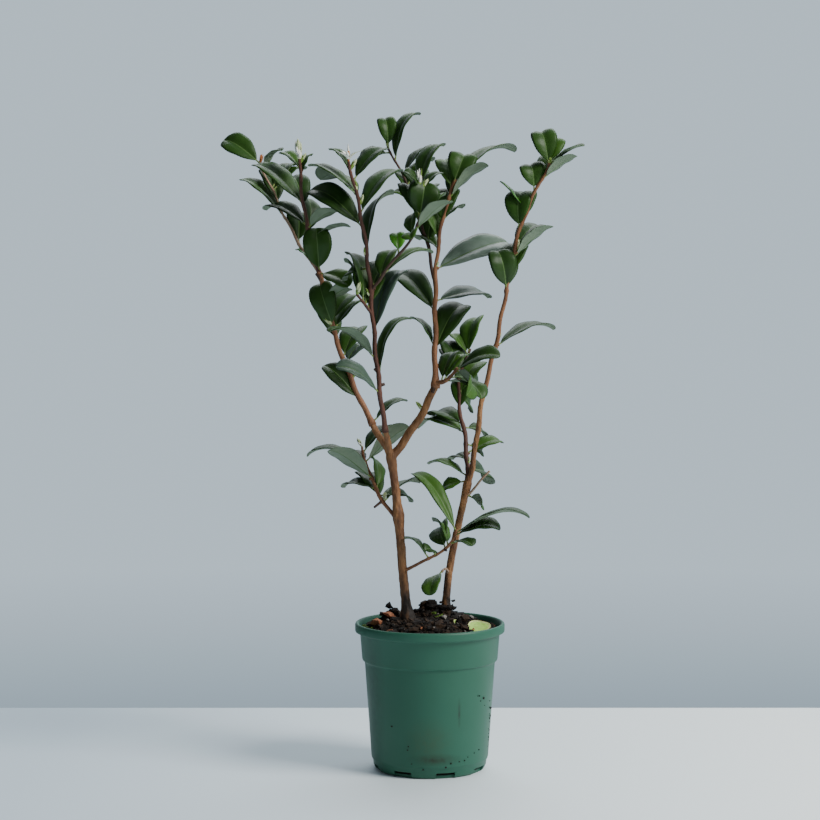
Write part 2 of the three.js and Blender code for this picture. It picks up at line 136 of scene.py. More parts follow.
wire(
    table_tree, (table_way, "Object", table_split, "Vector"), (table_split, "X", table_light_reach, "Value"),
    (table_light_reach, "Result", table_painted_light, "Factor"), (table_painted_light, "Result", table_shader, "Base Color"),
)
table_top.data.materials.append(table_paint)

# The wall is bright and a little darker low down, and the room in front and to the left is dim, which
# keeps the leaves that face it deep in colour and the pot's left side dark.
world = bpy.data.worlds.new("studio")
world.use_nodes = True
bpy.context.scene.world = world
world_tree = world.node_tree
world_split = add_node(world_tree, "SeparateXYZ")
wire(world_tree, (add_node(world_tree, "TexCoord"), "Generated", world_split, "Vector"))
world_wall = add_node(world_tree, "RGB")
world_wall.outputs["Color"].default_value = (0.58, 0.705, 0.80, 1)
shade = (world_wall, "Color")
for axis, low, high, colour in [
    ("Z", -0.205, -0.13, (0.31, 0.405, 0.48, 1)), ("Y", -0.2, 0.5, (0.17, 0.19, 0.21, 1)),
    ("X", -0.75, -0.22, (0.07, 0.075, 0.08, 1)),
]:
    reach = add_node(world_tree, "MapRange", {"From Min": low, "From Max": high})
    blend = add_node(world_tree, "Mix", {"A": colour}, data_type="RGBA")
    wire(
        world_tree, (world_split, axis, reach, "Value"), (reach, "Result", blend, "Factor"),
        (*shade, blend, "B"),
    )
    shade = (blend, "Result")
wire(world_tree, (*shade, world_tree.nodes["Background"], "Color"))


# Shared finish: mottle
# Uneven colour and a fine grain, as on moulded plastic, bark and leaves.
# It puts out a mask, a colour and a height.
mottle = bpy.data.node_groups.new("mottle", "ShaderNodeTree")
for way, sockets in [
    ("INPUT", [
        ("Colour", "Color"), ("Second colour", "Color"), ("Coordinates", "Vector"),
        ("Patches per metre", "Float"), ("Grain per metre", "Float"), ("Contrast", "Float"),
    ]),
    ("OUTPUT", [("Colour", "Color"), ("Mask", "Float"), ("Height", "Float")]),
]:
    for name, kind in sockets:
        mottle.interface.new_socket(name=name, in_out=way, socket_type="NodeSocket" + kind)
mottle_in = mottle.nodes.new("NodeGroupInput")
mottle_out = mottle.nodes.new("NodeGroupOutput")
mottle_patches = add_node(mottle, "TexNoise", {"Detail": 5})
mottle_grain = add_node(mottle, "TexNoise", {"Detail": 3})
mottle_centred = add_node(mottle, "Math", {1: 0.5}, operation="SUBTRACT")
mottle_mask = add_node(mottle, "Math", {2: 0.5}, operation="MULTIPLY_ADD", use_clamp=True)
mottle_mix = add_node(mottle, "Mix", data_type="RGBA")
wire(
    mottle,
    (mottle_in, "Coordinates", mottle_patches, "Vector"),
    (mottle_in, "Coordinates", mottle_grain, "Vector"),
    (mottle_in, "Patches per metre", mottle_patches, "Scale"),
    (mottle_in, "Grain per metre", mottle_grain, "Scale"),
    (mottle_patches, "Fac", mottle_centred, 0), (mottle_centred, 0, mottle_mask, 0),
    (mottle_in, "Contrast", mottle_mask, 1), (mottle_mask, 0, mottle_mix, "Factor"),
    (mottle_in, "Colour", mottle_mix, "A"), (mottle_in, "Second colour", mottle_mix, "B"),
    (mottle_mix, "Result", mottle_out, "Colour"), (mottle_mask, 0, mottle_out, "Mask"),
    (mottle_grain, "Fac", mottle_out, "Height"),
)


def mottled_material(
    name, colour, second, patches, grain, contrast, bump, roughness, specular, stretch=(1, 1, 1),
):
    """A material whose colour wanders between two by the mottle group."""
    material, tree, shader = new_material(name, roughness, specular)
    coordinates = add_node(tree, "TexCoord")
    mapping = add_node(tree, "Mapping", {"Scale": stretch})
    effect = add_node(tree, "Group", node_tree=mottle)
    for entry, value in [
        ("Colour", (*colour, 1)), ("Second colour", (*second, 1)), ("Patches per metre", patches),
        ("Grain per metre", grain), ("Contrast", contrast),
    ]:
        effect.inputs[entry].default_value = value
    relief = add_node(tree, "Bump", {"Strength": 1, "Distance": bump * MM})
    wire(
        tree, (coordinates, "Object", mapping, "Vector"), (mapping, "Vector", effect, "Coordinates"),
        (effect, "Height", relief, "Height"), (effect, "Colour", shader, "Base Color"),
        (relief, "Normal", shader, "Normal"),
    )
    return material


def find_node(material, kind):
    return next(node for node in material.node_tree.nodes if node.type == kind)


# Pot
# A thin round nursery pot, moulded in one piece of green plastic: a step at the foot, a collar under
# the lip and eight drain slots cut into its lower corner.
POT_SIDES = 128
WALL = 1.5
RIM_RADIUS = 66.3
POT_HEIGHT = 130
FLOOR_THICKNESS = 2.6
DRAIN_SLOTS = 8
SLOT_WIDTH = 17
SLOT_DEPTH = 5.5
SLOT_RADIUS = 51.5
SLOT_TURN = 0.35
POT_ROUNDING = 0.35
pot_outside = [
    (45.5, 0), (47.6, 0.5), (48.6, 1.6), (50, 4.6), (50.6, 9), (51.4, 9.9), (51.9, 11.5), (57.6, 94),
    (58, 96), (59.7, 97.3), (60.1, 98.6), (61.8, 120.4), (62.4, 121.6), (65, 122), (66, 122.5),
    (RIM_RADIUS, 123.6), (RIM_RADIUS, POT_HEIGHT - 1.8), (65.9, POT_HEIGHT - 0.6), (65.1, POT_HEIGHT),
]
pot_inside = [
    (63.9, POT_HEIGHT), (63.1, POT_HEIGHT - 0.6), (62.6, POT_HEIGHT - 2), (61.8 - WALL, 121),
    (60 - WALL, 98.6), (57.8 - WALL, 96.5), (51.6 - WALL, 10), (47.5, FLOOR_THICKNESS + 0.8),
    (45.5, FLOOR_THICKNESS),
]
select_none()
bpy.ops.mesh.primitive_circle_add(vertices=POT_SIDES, radius=pot_outside[0][0] * MM, fill_type="NGON")
pot = bpy.context.object
pot.name = "nursery_pot"
bpy.ops.object.mode_set(mode="EDIT")
radius, height = pot_outside[0]
for next_radius, next_height in pot_outside[1:] + pot_inside:
    bpy.ops.mesh.extrude_region_move(TRANSFORM_OT_translate={"value": (0, 0, (next_height - height) * MM)})
    ratio = next_radius / radius
    bpy.ops.transform.resize(value=(ratio, ratio, 1), center_override=(0, 0, next_height * MM))
    radius, height = next_radius, next_height
bpy.ops.object.mode_set(mode="OBJECT")

# The slots are cut with blocks that straddle the lower corner, then every corner is softened.
slot_blocks = []
for slot_index in range(DRAIN_SLOTS):
    select_none()
    bearing = 2 * math.pi * (slot_index + SLOT_TURN) / DRAIN_SLOTS
    place = (SLOT_RADIUS * MM * math.cos(bearing), SLOT_RADIUS * MM * math.sin(bearing), 0)
    bpy.ops.mesh.primitive_cube_add(size=1, location=place, rotation=(0, 0, bearing))
    block = bpy.context.object
    block.scale = (2 * SLOT_DEPTH * MM, SLOT_WIDTH * MM, 2 * SLOT_DEPTH * MM)
    bpy.ops.object.transform_apply(location=True, rotation=True, scale=True)
    slot_blocks.append(block)
make_active(slot_blocks[0])
for block in slot_blocks:
    block.select_set(True)
bpy.ops.object.join()
slot_cutter = bpy.context.object


def apply_modifier(piece, kind, **settings):
    make_active(piece)
    modifier = piece.modifiers.new(kind.lower(), kind)
    for name, value in settings.items():
        setattr(modifier, name, value)
    bpy.ops.object.modifier_apply(modifier=modifier.name)


def clean_outside(piece):
    make_active(piece)
    bpy.ops.object.mode_set(mode="EDIT")
    bpy.ops.mesh.select_all(action="SELECT")
    bpy.ops.mesh.remove_doubles(threshold=1e-6)
    bpy.ops.mesh.normals_make_consistent(inside=False)
    bpy.ops.object.mode_set(mode="OBJECT")


clean_outside(pot)
apply_modifier(pot, "BOOLEAN", operation="DIFFERENCE", object=slot_cutter, solver="EXACT")
bpy.data.objects.remove(slot_cutter)
apply_modifier(
    pot, "BEVEL", width=POT_ROUNDING * MM, segments=2, limit_method="ANGLE", angle_limit=math.radians(35),
)
bpy.ops.object.shade_smooth_by_angle(angle=math.radians(40))

pot_plastic = mottled_material(
    "pot_plastic", (0.021, 0.098, 0.060), (0.030, 0.120, 0.078),
    patches=16, grain=1500, contrast=1.6, bump=0.05, roughness=0.46, specular=0.28,
)


def add_stain_and_shade_patch(place, half, colour, strength):
    """A patch of colour on the pot, ragged by noise and fading to its edge: dirt stains, and on the left
    side painted shade.
    """
    tree, coordinates = pot_plastic.node_tree, find_node(pot_plastic, "TEX_COORD")
    shader = tree.nodes["Principled BSDF"]
    place, half = ([value * MM for value in values] for values in (place, half))
    moved = add_node(tree, "Mapping", {"Location": place, "Scale": half}, vector_type="TEXTURE")
    patch = add_node(tree, "TexGradient", gradient_type="SPHERICAL")
    ragged = add_node(tree, "TexNoise", {"Scale": 190, "Detail": 4})
    amount = add_node(tree, "Math", operation="MULTIPLY")
    scaled = add_node(tree, "Math", {1: 2 * strength}, operation="MULTIPLY", use_clamp=True)
    mix = add_node(tree, "Mix", {"B": (*colour, 1)}, data_type="RGBA")
    tree.links.new(shader.inputs["Base Color"].links[0].from_socket, mix.inputs["A"])
    wire(
        tree, (coordinates, "Object", moved, "Vector"), (moved, "Vector", patch, "Vector"),
        (coordinates, "Object", ragged, "Vector"), (patch, "Fac", amount, 0), (ragged, "Fac", amount, 1),
        (amount, 0, scaled, 0), (scaled, 0, mix, "Factor"), (mix, "Result", shader, "Base Color"),
    )


add_stain_and_shade_patch((-1, -54, 33), (24, 30, 24), (0.050, 0.085, 0.045), 0.45)
add_stain_and_shade_patch((4, -51, 17.5), (26, 30, 6), (0.024, 0.040, 0.024), 0.75)
add_stain_and_shade_patch((25, -49, 58), (1.6, 20, 16), (0.020, 0.050, 0.034), 0.9)
# Painted shade: a dark patch over the whole height of the pot's left side, where the light from the right
# leaves it in shade.
add_stain_and_shade_patch((-50, -22, 70), (12, 50, 95), (0.010, 0.040, 0.026), 0.5)
pot.data.materials.append(pot_plastic)
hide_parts("pot")
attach(pot, "root")


# Compost
# Moist bark compost fills the pot and swells up round the stems: a lumpy ball under loose crumbs,
# chips of bark, a little moss and a fallen leaf.
GROUND_LEVEL = 133
SOIL_EDGE = 125
SOIL_REACH = 61
SOIL_FLAT = 34
SOIL_BUMP = 2.2
CLEARANCE = 0.3
mounds = [
    ((-34, 4), 7, 7), ((-3, 12), 11, 9), ((-22, 22), 4, 9), ((10, 30), 4, 10), ((44, 14), -4.5, 14),
    ((18, -8), 3, 8), ((31, -22), 3, 6),
]


def smooth_step(value, low, high):
    share = np.clip((value - low) / (high - low), 0, 1)
    return share * share * (3 - 2 * share)


def soil_height(x, y):
    """Top of the compost, as in the solids but with the mounds that the photo shows."""
    distance = np.hypot(x, y)
    level = GROUND_LEVEL - CLEARANCE
    height = level + (SOIL_EDGE - level) * smooth_step(distance, SOIL_FLAT, SOIL_REACH)
    lump = np.sin(x * 0.31 + 1) * np.cos(y * 0.27) + 0.5 * np.sin(x * 0.7 - y * 0.53)
    fine = 0.6 * np.sin(x * 1.3 + 2 * np.sin(y * 0.9)) + 0.5 * np.sin(y * 1.7 + x * 0.4)
    raised = sum(
        rise * np.exp(-((x - place[0]) ** 2 + (y - place[1]) ** 2) / (half * half))
        for place, rise, half in mounds
    )
    return height + (SOIL_BUMP * 0.6 * lump + fine + raised) * smooth_step(SOIL_REACH - distance, 0, 8)


def turns(sides):
    return np.arange(sides) * 2 * math.pi / sides


def ring_round(centre, size, turned, side, up):
    """Points round a centre, at one distance or each at its own."""
    return centre + np.outer(size * np.cos(turned), side) + np.outer(size * np.sin(turned), up)


def tube_faces(rows, columns):
    """Quads between rings of vertices that each close on themselves."""
    row, column = np.meshgrid(np.arange(rows - 1), np.arange(columns), indexing="ij")
    following = (column + 1) % columns
    quads = [row * columns + column, row * columns + following]
    quads += [(row + 1) * columns + following, (row + 1) * columns + column]
    return np.stack(quads, -1).reshape(-1, 4)


class Joined:
    """Many small shapes gathered into one mesh, each face with its own material."""

    def __init__(self):
        self.points, self.faces, self.paints, self.count = [], [], [], 0

    def add(self, points, faces, paint=0):
        self.points.append(np.asarray(points, float))
        paints = np.broadcast_to(paint, len(faces))
        for face, its_paint in zip(faces, paints):
            self.faces.append([int(corner) + self.count for corner in face])
            self.paints.append(int(its_paint))
        self.count += len(points)

    def piece(self, name, materials, smooth=True):
        mesh = bpy.data.meshes.new(name)
        mesh.from_pydata((np.concatenate(self.points) * MM).tolist(), [], self.faces)
        for material in materials:
            mesh.materials.append(material)
        mesh.polygons.foreach_set("material_index", self.paints)
        mesh.polygons.foreach_set("use_smooth", [smooth] * len(self.faces))
        mesh.update()
        made = bpy.data.objects.new(name, mesh)
        bpy.context.scene.collection.objects.link(made)
        return made


def dress(piece, slot, *nodes):
    """The piece stands for its solids and goes with the plant."""
    if nodes:
        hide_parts(*nodes)
    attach(piece, "root")


soil_side = [
    (0.01, FLOOR_THICKNESS + CLEARANCE), (45, FLOOR_THICKNESS + CLEARANCE), (51.2 - WALL - CLEARANCE, 10.5),
    (57.3 - WALL - CLEARANCE, 96.5), (59.5 - WALL - CLEARANCE, 98.9), (61.6 - WALL - CLEARANCE, 121),
    (60.2, SOIL_EDGE),
]
SOIL_SIDES = 144
SOIL_RINGS = 60
CRUMB_REACH = 59.5
turned = turns(SOIL_SIDES)
soil_rings = [
    np.stack([radius * np.cos(turned), radius * np.sin(turned), np.full(SOIL_SIDES, height)], -1)
    for radius, height in soil_side
]
for radius in np.linspace(CRUMB_REACH, 0.01, SOIL_RINGS):
    x, y = radius * np.cos(turned), radius * np.sin(turned)
    soil_rings.append(np.stack([x, y, soil_height(x, y)], -1))
soil = Joined()
soil.add(np.concatenate(soil_rings), tube_faces(len(soil_rings), SOIL_SIDES))
compost = soil.piece("compost", [])
clean_outside(compost)
compost.data.materials.append(mottled_material(
    "compost_dark", (0.006, 0.005, 0.004), (0.020, 0.014, 0.010),
    patches=300, grain=1400, contrast=3, bump=0.9, roughness=0.85, specular=0.2,
))
dress(compost, "compost", "root_ball")

# Crumbs and chips lie on the compost, sunk a little into it.
compost_materials = [
    mottled_material(
        name, colour, second, patches=400, grain=2000, contrast=3, bump=0.4, roughness=0.8, specular=0.2,
    )
    for name, colour, second in [
        ("compost_brown", (0.020, 0.012, 0.007), (0.044, 0.025, 0.014)),
        ("compost_black", (0.005, 0.004, 0.0035), (0.014, 0.010, 0.008)),
        ("chip_orange", (0.24, 0.080, 0.036), (0.40, 0.165, 0.085)),
        ("chip_grey", (0.10, 0.095, 0.088), (0.22, 0.20, 0.18)),
        ("moss", (0.045, 0.090, 0.012), (0.110, 0.190, 0.025)),
        ("leaf_fallen", (0.32, 0.56, 0.10), (0.44, 0.68, 0.17)),
        ("leaf_fallen_edge", (0.55, 0.62, 0.24), (0.65, 0.70, 0.34)),
    ]
]
BROWN, BLACK, CHIP, PALE, MOSS, FALLEN, FALLEN_EDGE = range(7)

CRUMB_UNEVEN = 0.34
crumb_numbers = np.random.default_rng(5)
bm = bmesh.new()
bmesh.ops.create_icosphere(bm, subdivisions=1, radius=1)
crumb_points = np.array([vertex.co[:] for vertex in bm.verts])
crumb_faces = [[vertex.index for vertex in face.verts] for face in bm.faces]
bm.free()


def crumb(pile, place, size, flatness, paint):
    """One irregular lump, turned any way."""
    uneven = crumb_numbers.standard_normal((len(crumb_points), 1)).clip(-1.6, 1.6)
    shape = crumb_points * (1 + CRUMB_UNEVEN * uneven)
    shape = shape * size * np.array([1, 0.75, flatness])
    angles = crumb_numbers.uniform((-0.5, -0.5, 0), (0.5, 0.5, 6.28))
    turned = shape @ np.array(Matrix.Rotation(angles[2], 3, "Z") @ Matrix.Rotation(angles[0], 3, "X")).T
    pile.add(turned + np.asarray(place), crumb_faces, paint)


def on_soil(x, y, lift):
    return x, y, float(soil_height(x, y)) + lift


def scatter(pile, count, spread, edge, least, more, power, chances, flatness, lift, lift_by_size):
    """Lumps strewn over the compost, most of them small, and smaller where they come near the wall."""
    for _ in range(count):
        distance = spread * math.sqrt(crumb_numbers.uniform(0, 1))
        bearing = crumb_numbers.uniform(0, 2 * math.pi)
        size = least + more * crumb_numbers.uniform() ** power
        size = min(size, max(0.5, edge - distance))
        paint = crumb_numbers.choice(4, p=chances)
        x, y = distance * math.cos(bearing), distance * math.sin(bearing)
        crumb(pile, on_soil(x, y, lift + lift_by_size * size), size, flatness, paint)


crumbs = Joined()
scatter(
    crumbs, 2600, spread=CRUMB_REACH, edge=60.3, least=0.7, more=1.5, power=2.2, flatness=0.7,
    lift=0, lift_by_size=0.25, chances=[0.32, 0.65, 0.01, 0.02],
)
scatter(
    crumbs, 240, spread=56, edge=CRUMB_REACH, least=2.2, more=3.6, power=1.5, flatness=0.45,
    lift=0.6, lift_by_size=0, chances=[0.4, 0.57, 0.01, 0.02],
)
# Lumps that the photo shows one by one: x, y, height over the compost, size, and colour unless black. They
# are reddish chips at the left, dark bark by the stems, some of it clinging to the right one, and moss.
placed_lumps = [
    (-35.5, -5, 3, 6.5, CHIP), (-47, -14, 2, 5.5, CHIP), (-30, 2, 3, 4.5, BROWN), (-36, 6, 4, 4.5),
    (-42, 3, 3, 4), (-31, 9, 3, 4.5), (-37, -17, 1.5, 1.8, PALE), (-44, -22, 1, 4.5, BROWN),
    (-12, -22, 1, 4.5), (-1, 9, 3, 5.5), (2, 13, 4, 6), (-6, 10, 2, 5, BROWN),
    (8.5, 11, 3, 4.5), (9, 9, 7, 3.2), (20, 12, 4, 4.5), (21.5, 12, 9, 3.4),
    (21, 14, 14, 2.4), (10, 12, 11, 2.2), (15, 8, 3, 4.5, BROWN), (27, 6, 3, 5),
    (13, 9, 8, 3.4), (17, 10, 10, 3.2), (19.5, 13, 11, 3), (10, 13, 6, 4),
    (1, 6, 6, 4.5), (5, 12, 6, 4), (-26, -2, 1.5, 3.5), (-14, -4, 1.5, 3.5),
    (33, 4, 2, 4.5, BROWN), (37, -1, 2, 3.5, PALE), (31, -22, 2, 6, BROWN), (26, -26, 1, 4.5),
    (10, -26, 1, 4, BROWN), (49, 20, 1, 4), (53, 12, 1, 3.4), (50, -6, 1, 3.4, BROWN),
    (-56, -6, 0.5, 3.2, MOSS), (-54, -12, 0.5, 2.8, MOSS), (-51, -17, 0.5, 2.4, MOSS),
    (-57, 1, 0.5, 3, MOSS),
    (4, 3, 1, 3.2, MOSS), (8, 4, 1.5, 3, MOSS), (11, 5, 2.5, 2.4, MOSS), (6, 0, 0.5, 2.6, MOSS),
]
for x, y, lift, size, *paint in placed_lumps:
    crumb(crumbs, on_soil(x, y, lift), size, 0.6, *paint or [BLACK])


def fallen_leaf(pile, place, reach, tilt):
    """A pale leaf that lies on the compost: a thin dish with a yellow edge, leaning to the front."""
    shares = [
        (0.01, 0.25), (0.5, 0.3), (0.86, 0.5), (1, 0.8), (1, 0.6), (0.86, 0.2), (0.5, 0), (0.01, -0.05),
    ]
    sides = 28
    round_it = turns(sides)
    outline = 1 + 0.10 * np.cos(3 * round_it + 0.6) - 0.08 * np.cos(round_it - 2.2)
    rows = [
        np.stack([
            reach[0] * share * outline * np.cos(round_it), reach[1] * share * outline * np.sin(round_it),
            np.full(sides, lift) + 1.6 * share * share * np.cos(round_it) ** 2,
        ], -1)
        for share, lift in shares
    ]
    lean = np.array(Matrix.Rotation(math.radians(tilt), 3, "X")).T
    paint = np.full((len(shares) - 1) * sides, FALLEN)
    paint[2 * sides:5 * sides] = FALLEN_EDGE
    pile.add(np.concatenate(rows) @ lean + np.array(place), tube_faces(len(rows), sides), paint)


fallen_leaf(crumbs, (41.5, -30, 130.5), (10, 8), 30)
fallen_leaf(crumbs, (25, -24, 133.5), (5, 2.8), 30)
loose = crumbs.piece("compost_crumbs", compost_materials, smooth=False)
dress(loose, "compost")

# Crumbs that stick to the outside of the pot, by bearing, height and size
pot_crumbs = [
    (232, 45.5, 1.1), (249, 29, 0.7), (252, 14, 0.9), (285, 11, 1.0), (324, 22.5, 1.0), (309, 18, 0.8),
    (317, 20.5, 0.7), (327, 68, 1.3), (318, 71, 0.7), (329, 61, 0.6), (341, 63, 0.9), (343, 57, 1.1),
    (344, 51, 0.6), (345, 44, 0.6), (343, 38, 0.6), (345, 33, 0.6), (346, 27, 0.7), (344, 22, 0.6),
    (345, 56, 1.5), (346, 49, 1.3), (344.5, 47, 1.0), (347, 36, 1.0), (346, 30, 1.1), (248, 26, 0.9),
    (263, 9, 0.9), (290, 14, 1.0), (299, 15, 0.8), (305, 15.5, 0.9), (320, 71, 0.9), (322, 66, 0.8),
]
(low_radius, low), (high_radius, high) = pot_outside[6:8]
stuck = Joined()
for bearing, height, size in pot_crumbs:
    out = low_radius + (high_radius - low_radius) * (height - low) / (high - low)
    place = (out * math.cos(math.radians(bearing)), out * math.sin(math.radians(bearing)), height)
    crumb(stuck, place, size, 0.8, 0)
dress(stuck.piece("pot_crumbs", compost_materials[BLACK:BLACK + 1], smooth=False), "compost")


# Limbs
# Two stems rise from the compost and fork into boughs, and each bough or stem carries leafy shoots.
# A limb grows from a share of the one it is on; its tip is its reach away, bent by bow and sway. Its
# radius runs from foot to tip, and each knot is a share, an added radius and a half length.
NODE_SPACING = 19
ZIGZAG = 0.7


def limb(on, at, reach, bow, radius, sway=(0, 0, 0), knots=(), ground=None):
    return dict(on=on, at=at, reach=reach, bow=bow, radius=radius, sway=sway, knots=knots, ground=ground)


limbs = {
    "stem_left": limb(
        None, 0, (-15, 3.4, 146), (0.8, 0, 0), (4.2, 3.6), sway=(-0.6, 0, 0), ground=(-19.5, -8),
        knots=[(0, 3.2, 9), (0.63, 1.5, 8), (0.98, 1, 8)],
    ),
    "stem_right": limb(
        None, 0, (19.6, -1.2, 120), (-3.4, -0.6, 0), (3.5, 3), sway=(-0.7, 0, 0), ground=(14.4, 15.3),
        knots=[(0, 3, 9), (0.97, 0.9, 7)],
    ),
    "bough_left": limb("stem_left", 0.985, (-17, 4, 30), (0.4, -0.7, 0), (3.3, 2.8)),
    "bough_middle": limb("stem_left", 0.99, (-5, -8.5, 24), (-0.5, -0.5, 0), (2.8, 2.4)),
    "bough_right": limb("stem_left", 0.985, (39, 11, 62), (2.4, 0, -1.5), (3.7, 3.2)),
    "bough_outer": limb("stem_right", 0.99, (14, -12, 82), (0.7, -0.4, 0), (2.6, 2.2), sway=(0.7, 0, 0)),
    "left_main": limb(
        "bough_left", 1, (-46.5, 12, 132), (-5, 2.4, -1.9), (2.6, 1.7), knots=[(0.98, 0.9, 5)],
    ),
    "left_far": limb("left_main", 1, (-54, 30, 98), (-3, 0, -1.8), (1.5, 0.8), sway=(-0.7, 0, 0)),
    "left_top": limb("left_main", 1, (-16, -26, 98), (-3.6, 1.3, 0), (1.8, 1.3)),
    "middle_main": limb(
        "bough_middle", 1, (-30.5, -42, 231), (3.5, -1, 0), (2.3, 1.3), sway=(-2.2, 0, 0),
        knots=[(0.53, 0.8, 5)],
    ),
    "middle_spur": limb("middle_main", 0.44, (-12.6, -12, 17), (0, 0, -0.6), (1.2, 0.9)),
    "middle_side": limb("middle_main", 0.53, (41, -36, 87), (10, -4.5, -5), (1.4, 0.9), sway=(-4, 0, 0)),
    "right_main": limb(
        "bough_right", 1, (18.5, 22, 184), (-9, -2.9, 1.7), (2.7, 1.1), sway=(2, 0, 0),
        knots=[(0.02, 0.9, 5)],
    ),
    "right_top": limb("right_main", 0.42, (-43, 50, 135), (8, 2.6, 1.5), (1.7, 0.9)),
    "right_side": limb("right_main", 0.02, (19, -26, 13), (0.5, -1.5, -4), (1.9, 1.3)),
    "inner_main": limb("stem_right", 0.99, (3.4, 47, 118), (-7.5, -2.7, 1.9), (2.3, 1.1), sway=(3.8, 0, 0)),
    "outer_main": limb("bough_outer", 1, (56, -21, 199), (-7, 0, 2.5), (2.2, 1.2), sway=(3, -1.4, -1)),
    "cut_twig": limb("stem_right", 0.88, (22, -10, 25), (0, -1, 0), (1.2, 0.9)),
    "low_left": limb("stem_left", 0.59, (-33, 25, 65), (-4.3, 0, -2.6), (1.9, 1.0)),
    "low_cross": limb(
        "stem_left", 0.295, (47, -17, 38.5), (2.6, -5.3, -4.7), (1.5, 1.0), sway=(-1.4, 0, 1.4),
    ),
    "low_foot": limb("stem_right", 0.31, (-6.5, -18, 5), (0, 0.5, 3.8), (1.3, 0.9)),
}


def middle(name, share):
    """A point on a limb's middle line, which swings a little at each of its nodes."""
    rule = limbs[name]
    ground = rule["ground"]
    foot = np.array([*ground, GROUND_LEVEL], float) if ground else middle(rule["on"], rule["at"])
    reach = np.array(rule["reach"], float)
    swings = max(1, int(np.linalg.norm(reach) / NODE_SPACING + 0.5))
    swing = 0 if ground else ZIGZAG * math.sin(math.pi * swings * share) * min(1, 8 * share)
    bent = np.array(rule["bow"]) * 4 * share * (1 - share)
    swayed = np.array(rule["sway"]) * math.sin(2 * math.pi * share)
    return foot + reach * share + bent + swayed + np.array([swing, swing / 2, 0])


def limb_length(name):
    return float(np.linalg.norm(limbs[name]["reach"]))


def thickness(name, share):
    rule, length = limbs[name], limb_length(name)
    foot, tip = rule["radius"]
    added = sum(
        extra * math.exp(-(((share - at) * length / half) ** 2)) for at, extra, half in rule["knots"]
    )
    return foot + (tip - foot) * share + added


def direction(name, share, step=0.02):
    way = middle(name, min(1, share + step)) - middle(name, max(0, share - step))
    return way / np.linalg.norm(way)


NODE_SWELLING, NODE_HALF = 0.32, 1.6
FLARE_LENGTH = 3.5
SIDE_START = 0.9


def grows_from_side(name):
    """True where a limb leaves the side of another, and not its end."""
    return limbs[name]["at"] < SIDE_START


def limb_tube(name, sides, step, rough, nodes=(), sink=0.0, flare=0.0):
    """A limb with its bark's relief: ridges along it, rings round it and a swelling at each leaf node.
    Its foot is sunk into what it grows from and flares out there, and its tip is rounded off."""
    length = limb_length(name)
    shares = np.linspace(0, 1, max(3, math.ceil(length / step) + 1))
    numbers = np.random.default_rng(sum(map(ord, name)))
    phases = numbers.uniform(0, 2 * math.pi, 6)
    turned = turns(sides)
    host = limbs[name]["on"]
    host_reach = thickness(host, limbs[name]["at"]) if host and grows_from_side(name) else 0
    rings = []
    for share in shares:
        along = direction(name, share)
        side = np.cross((0, 1, 0), along)
        side /= np.linalg.norm(side)
        out = np.cross(side, along)
        run = share * length
        size = thickness(name, share) * (1 + flare * math.exp(-((run / FLARE_LENGTH) ** 2)))
        if run < host_reach:
            size = min(size, 0.85 * host_reach)
        size += sum(
            NODE_SWELLING * math.exp(-(((run - at * length) / NODE_HALF) ** 2)) for at in nodes
        )
        relief = 0.5 * np.sin(3 * turned + 0.11 * run + phases[0]) * np.sin(0.23 * run + phases[1])
        relief = relief + 0.8 * np.sin(5 * turned - 0.17 * run + phases[2]) * np.sin(0.41 * run + phases[3])
        relief = relief + 0.6 * np.sin(2 * turned + phases[4]) * np.sin(0.9 * run + phases[5])
        centre = middle(name, share) - (along * sink if share == 0 else 0)
        rings.append(ring_round(centre, size + rough * relief, turned, side, out))
    tip_way, tip, end_size = direction(name, 1), middle(name, 1), thickness(name, 1)
    for rise, shrink in ((0.35, 0.85), (0.6, 0.5), (0.7, 0.05)):
        rings.append(tip + tip_way * end_size * rise + (rings[len(shares) - 1] - tip) * shrink)
    rings.insert(0, rings[0] * 0.02 + rings[0].mean(0) * 0.98)
    return np.concatenate(rings), tube_faces(len(rings), sides)


# Stems and boughs
# The woody framework under the leaves. Each stem is one piece with its boughs, grown together at the
# forks, blackish at the soil and orange-brown above, with ridged bark.
DARK_FOOT = (24, 62)
UNEVEN_FOOT = 0.035


def bark_material(name, colour, second):
    return mottled_material(
        name, colour, second, patches=160, grain=700, contrast=2.6, bump=0.35,
        roughness=0.62, specular=0.35, stretch=(1, 1, 0.28),
    )


def darken_foot(material, colour):
    """The bark fades to another colour near the compost, along a ragged line."""
    tree = material.node_tree
    effect, coordinates = find_node(material, "GROUP"), find_node(material, "TEX_COORD")
    height = add_node(tree, "SeparateXYZ")
    uneven = add_node(tree, "Math", {1: UNEVEN_FOOT}, operation="MULTIPLY_ADD")
    low, high = ((GROUND_LEVEL + rise) * MM for rise in DARK_FOOT)
    fade = add_node(tree, "MapRange", {"From Min": low, "From Max": high})
    mix = add_node(tree, "Mix", {"A": (*colour, 1)}, data_type="RGBA")
    wire(
        tree, (coordinates, "Object", height, "Vector"), (height, "Z", uneven, 2),
        (effect, "Mask", uneven, 0), (uneven, 0, fade, "Value"), (fade, "Result", mix, "Factor"),
        (effect, "Colour", mix, "B"),
        (mix, "Result", tree.nodes["Principled BSDF"], "Base Color"),
    )


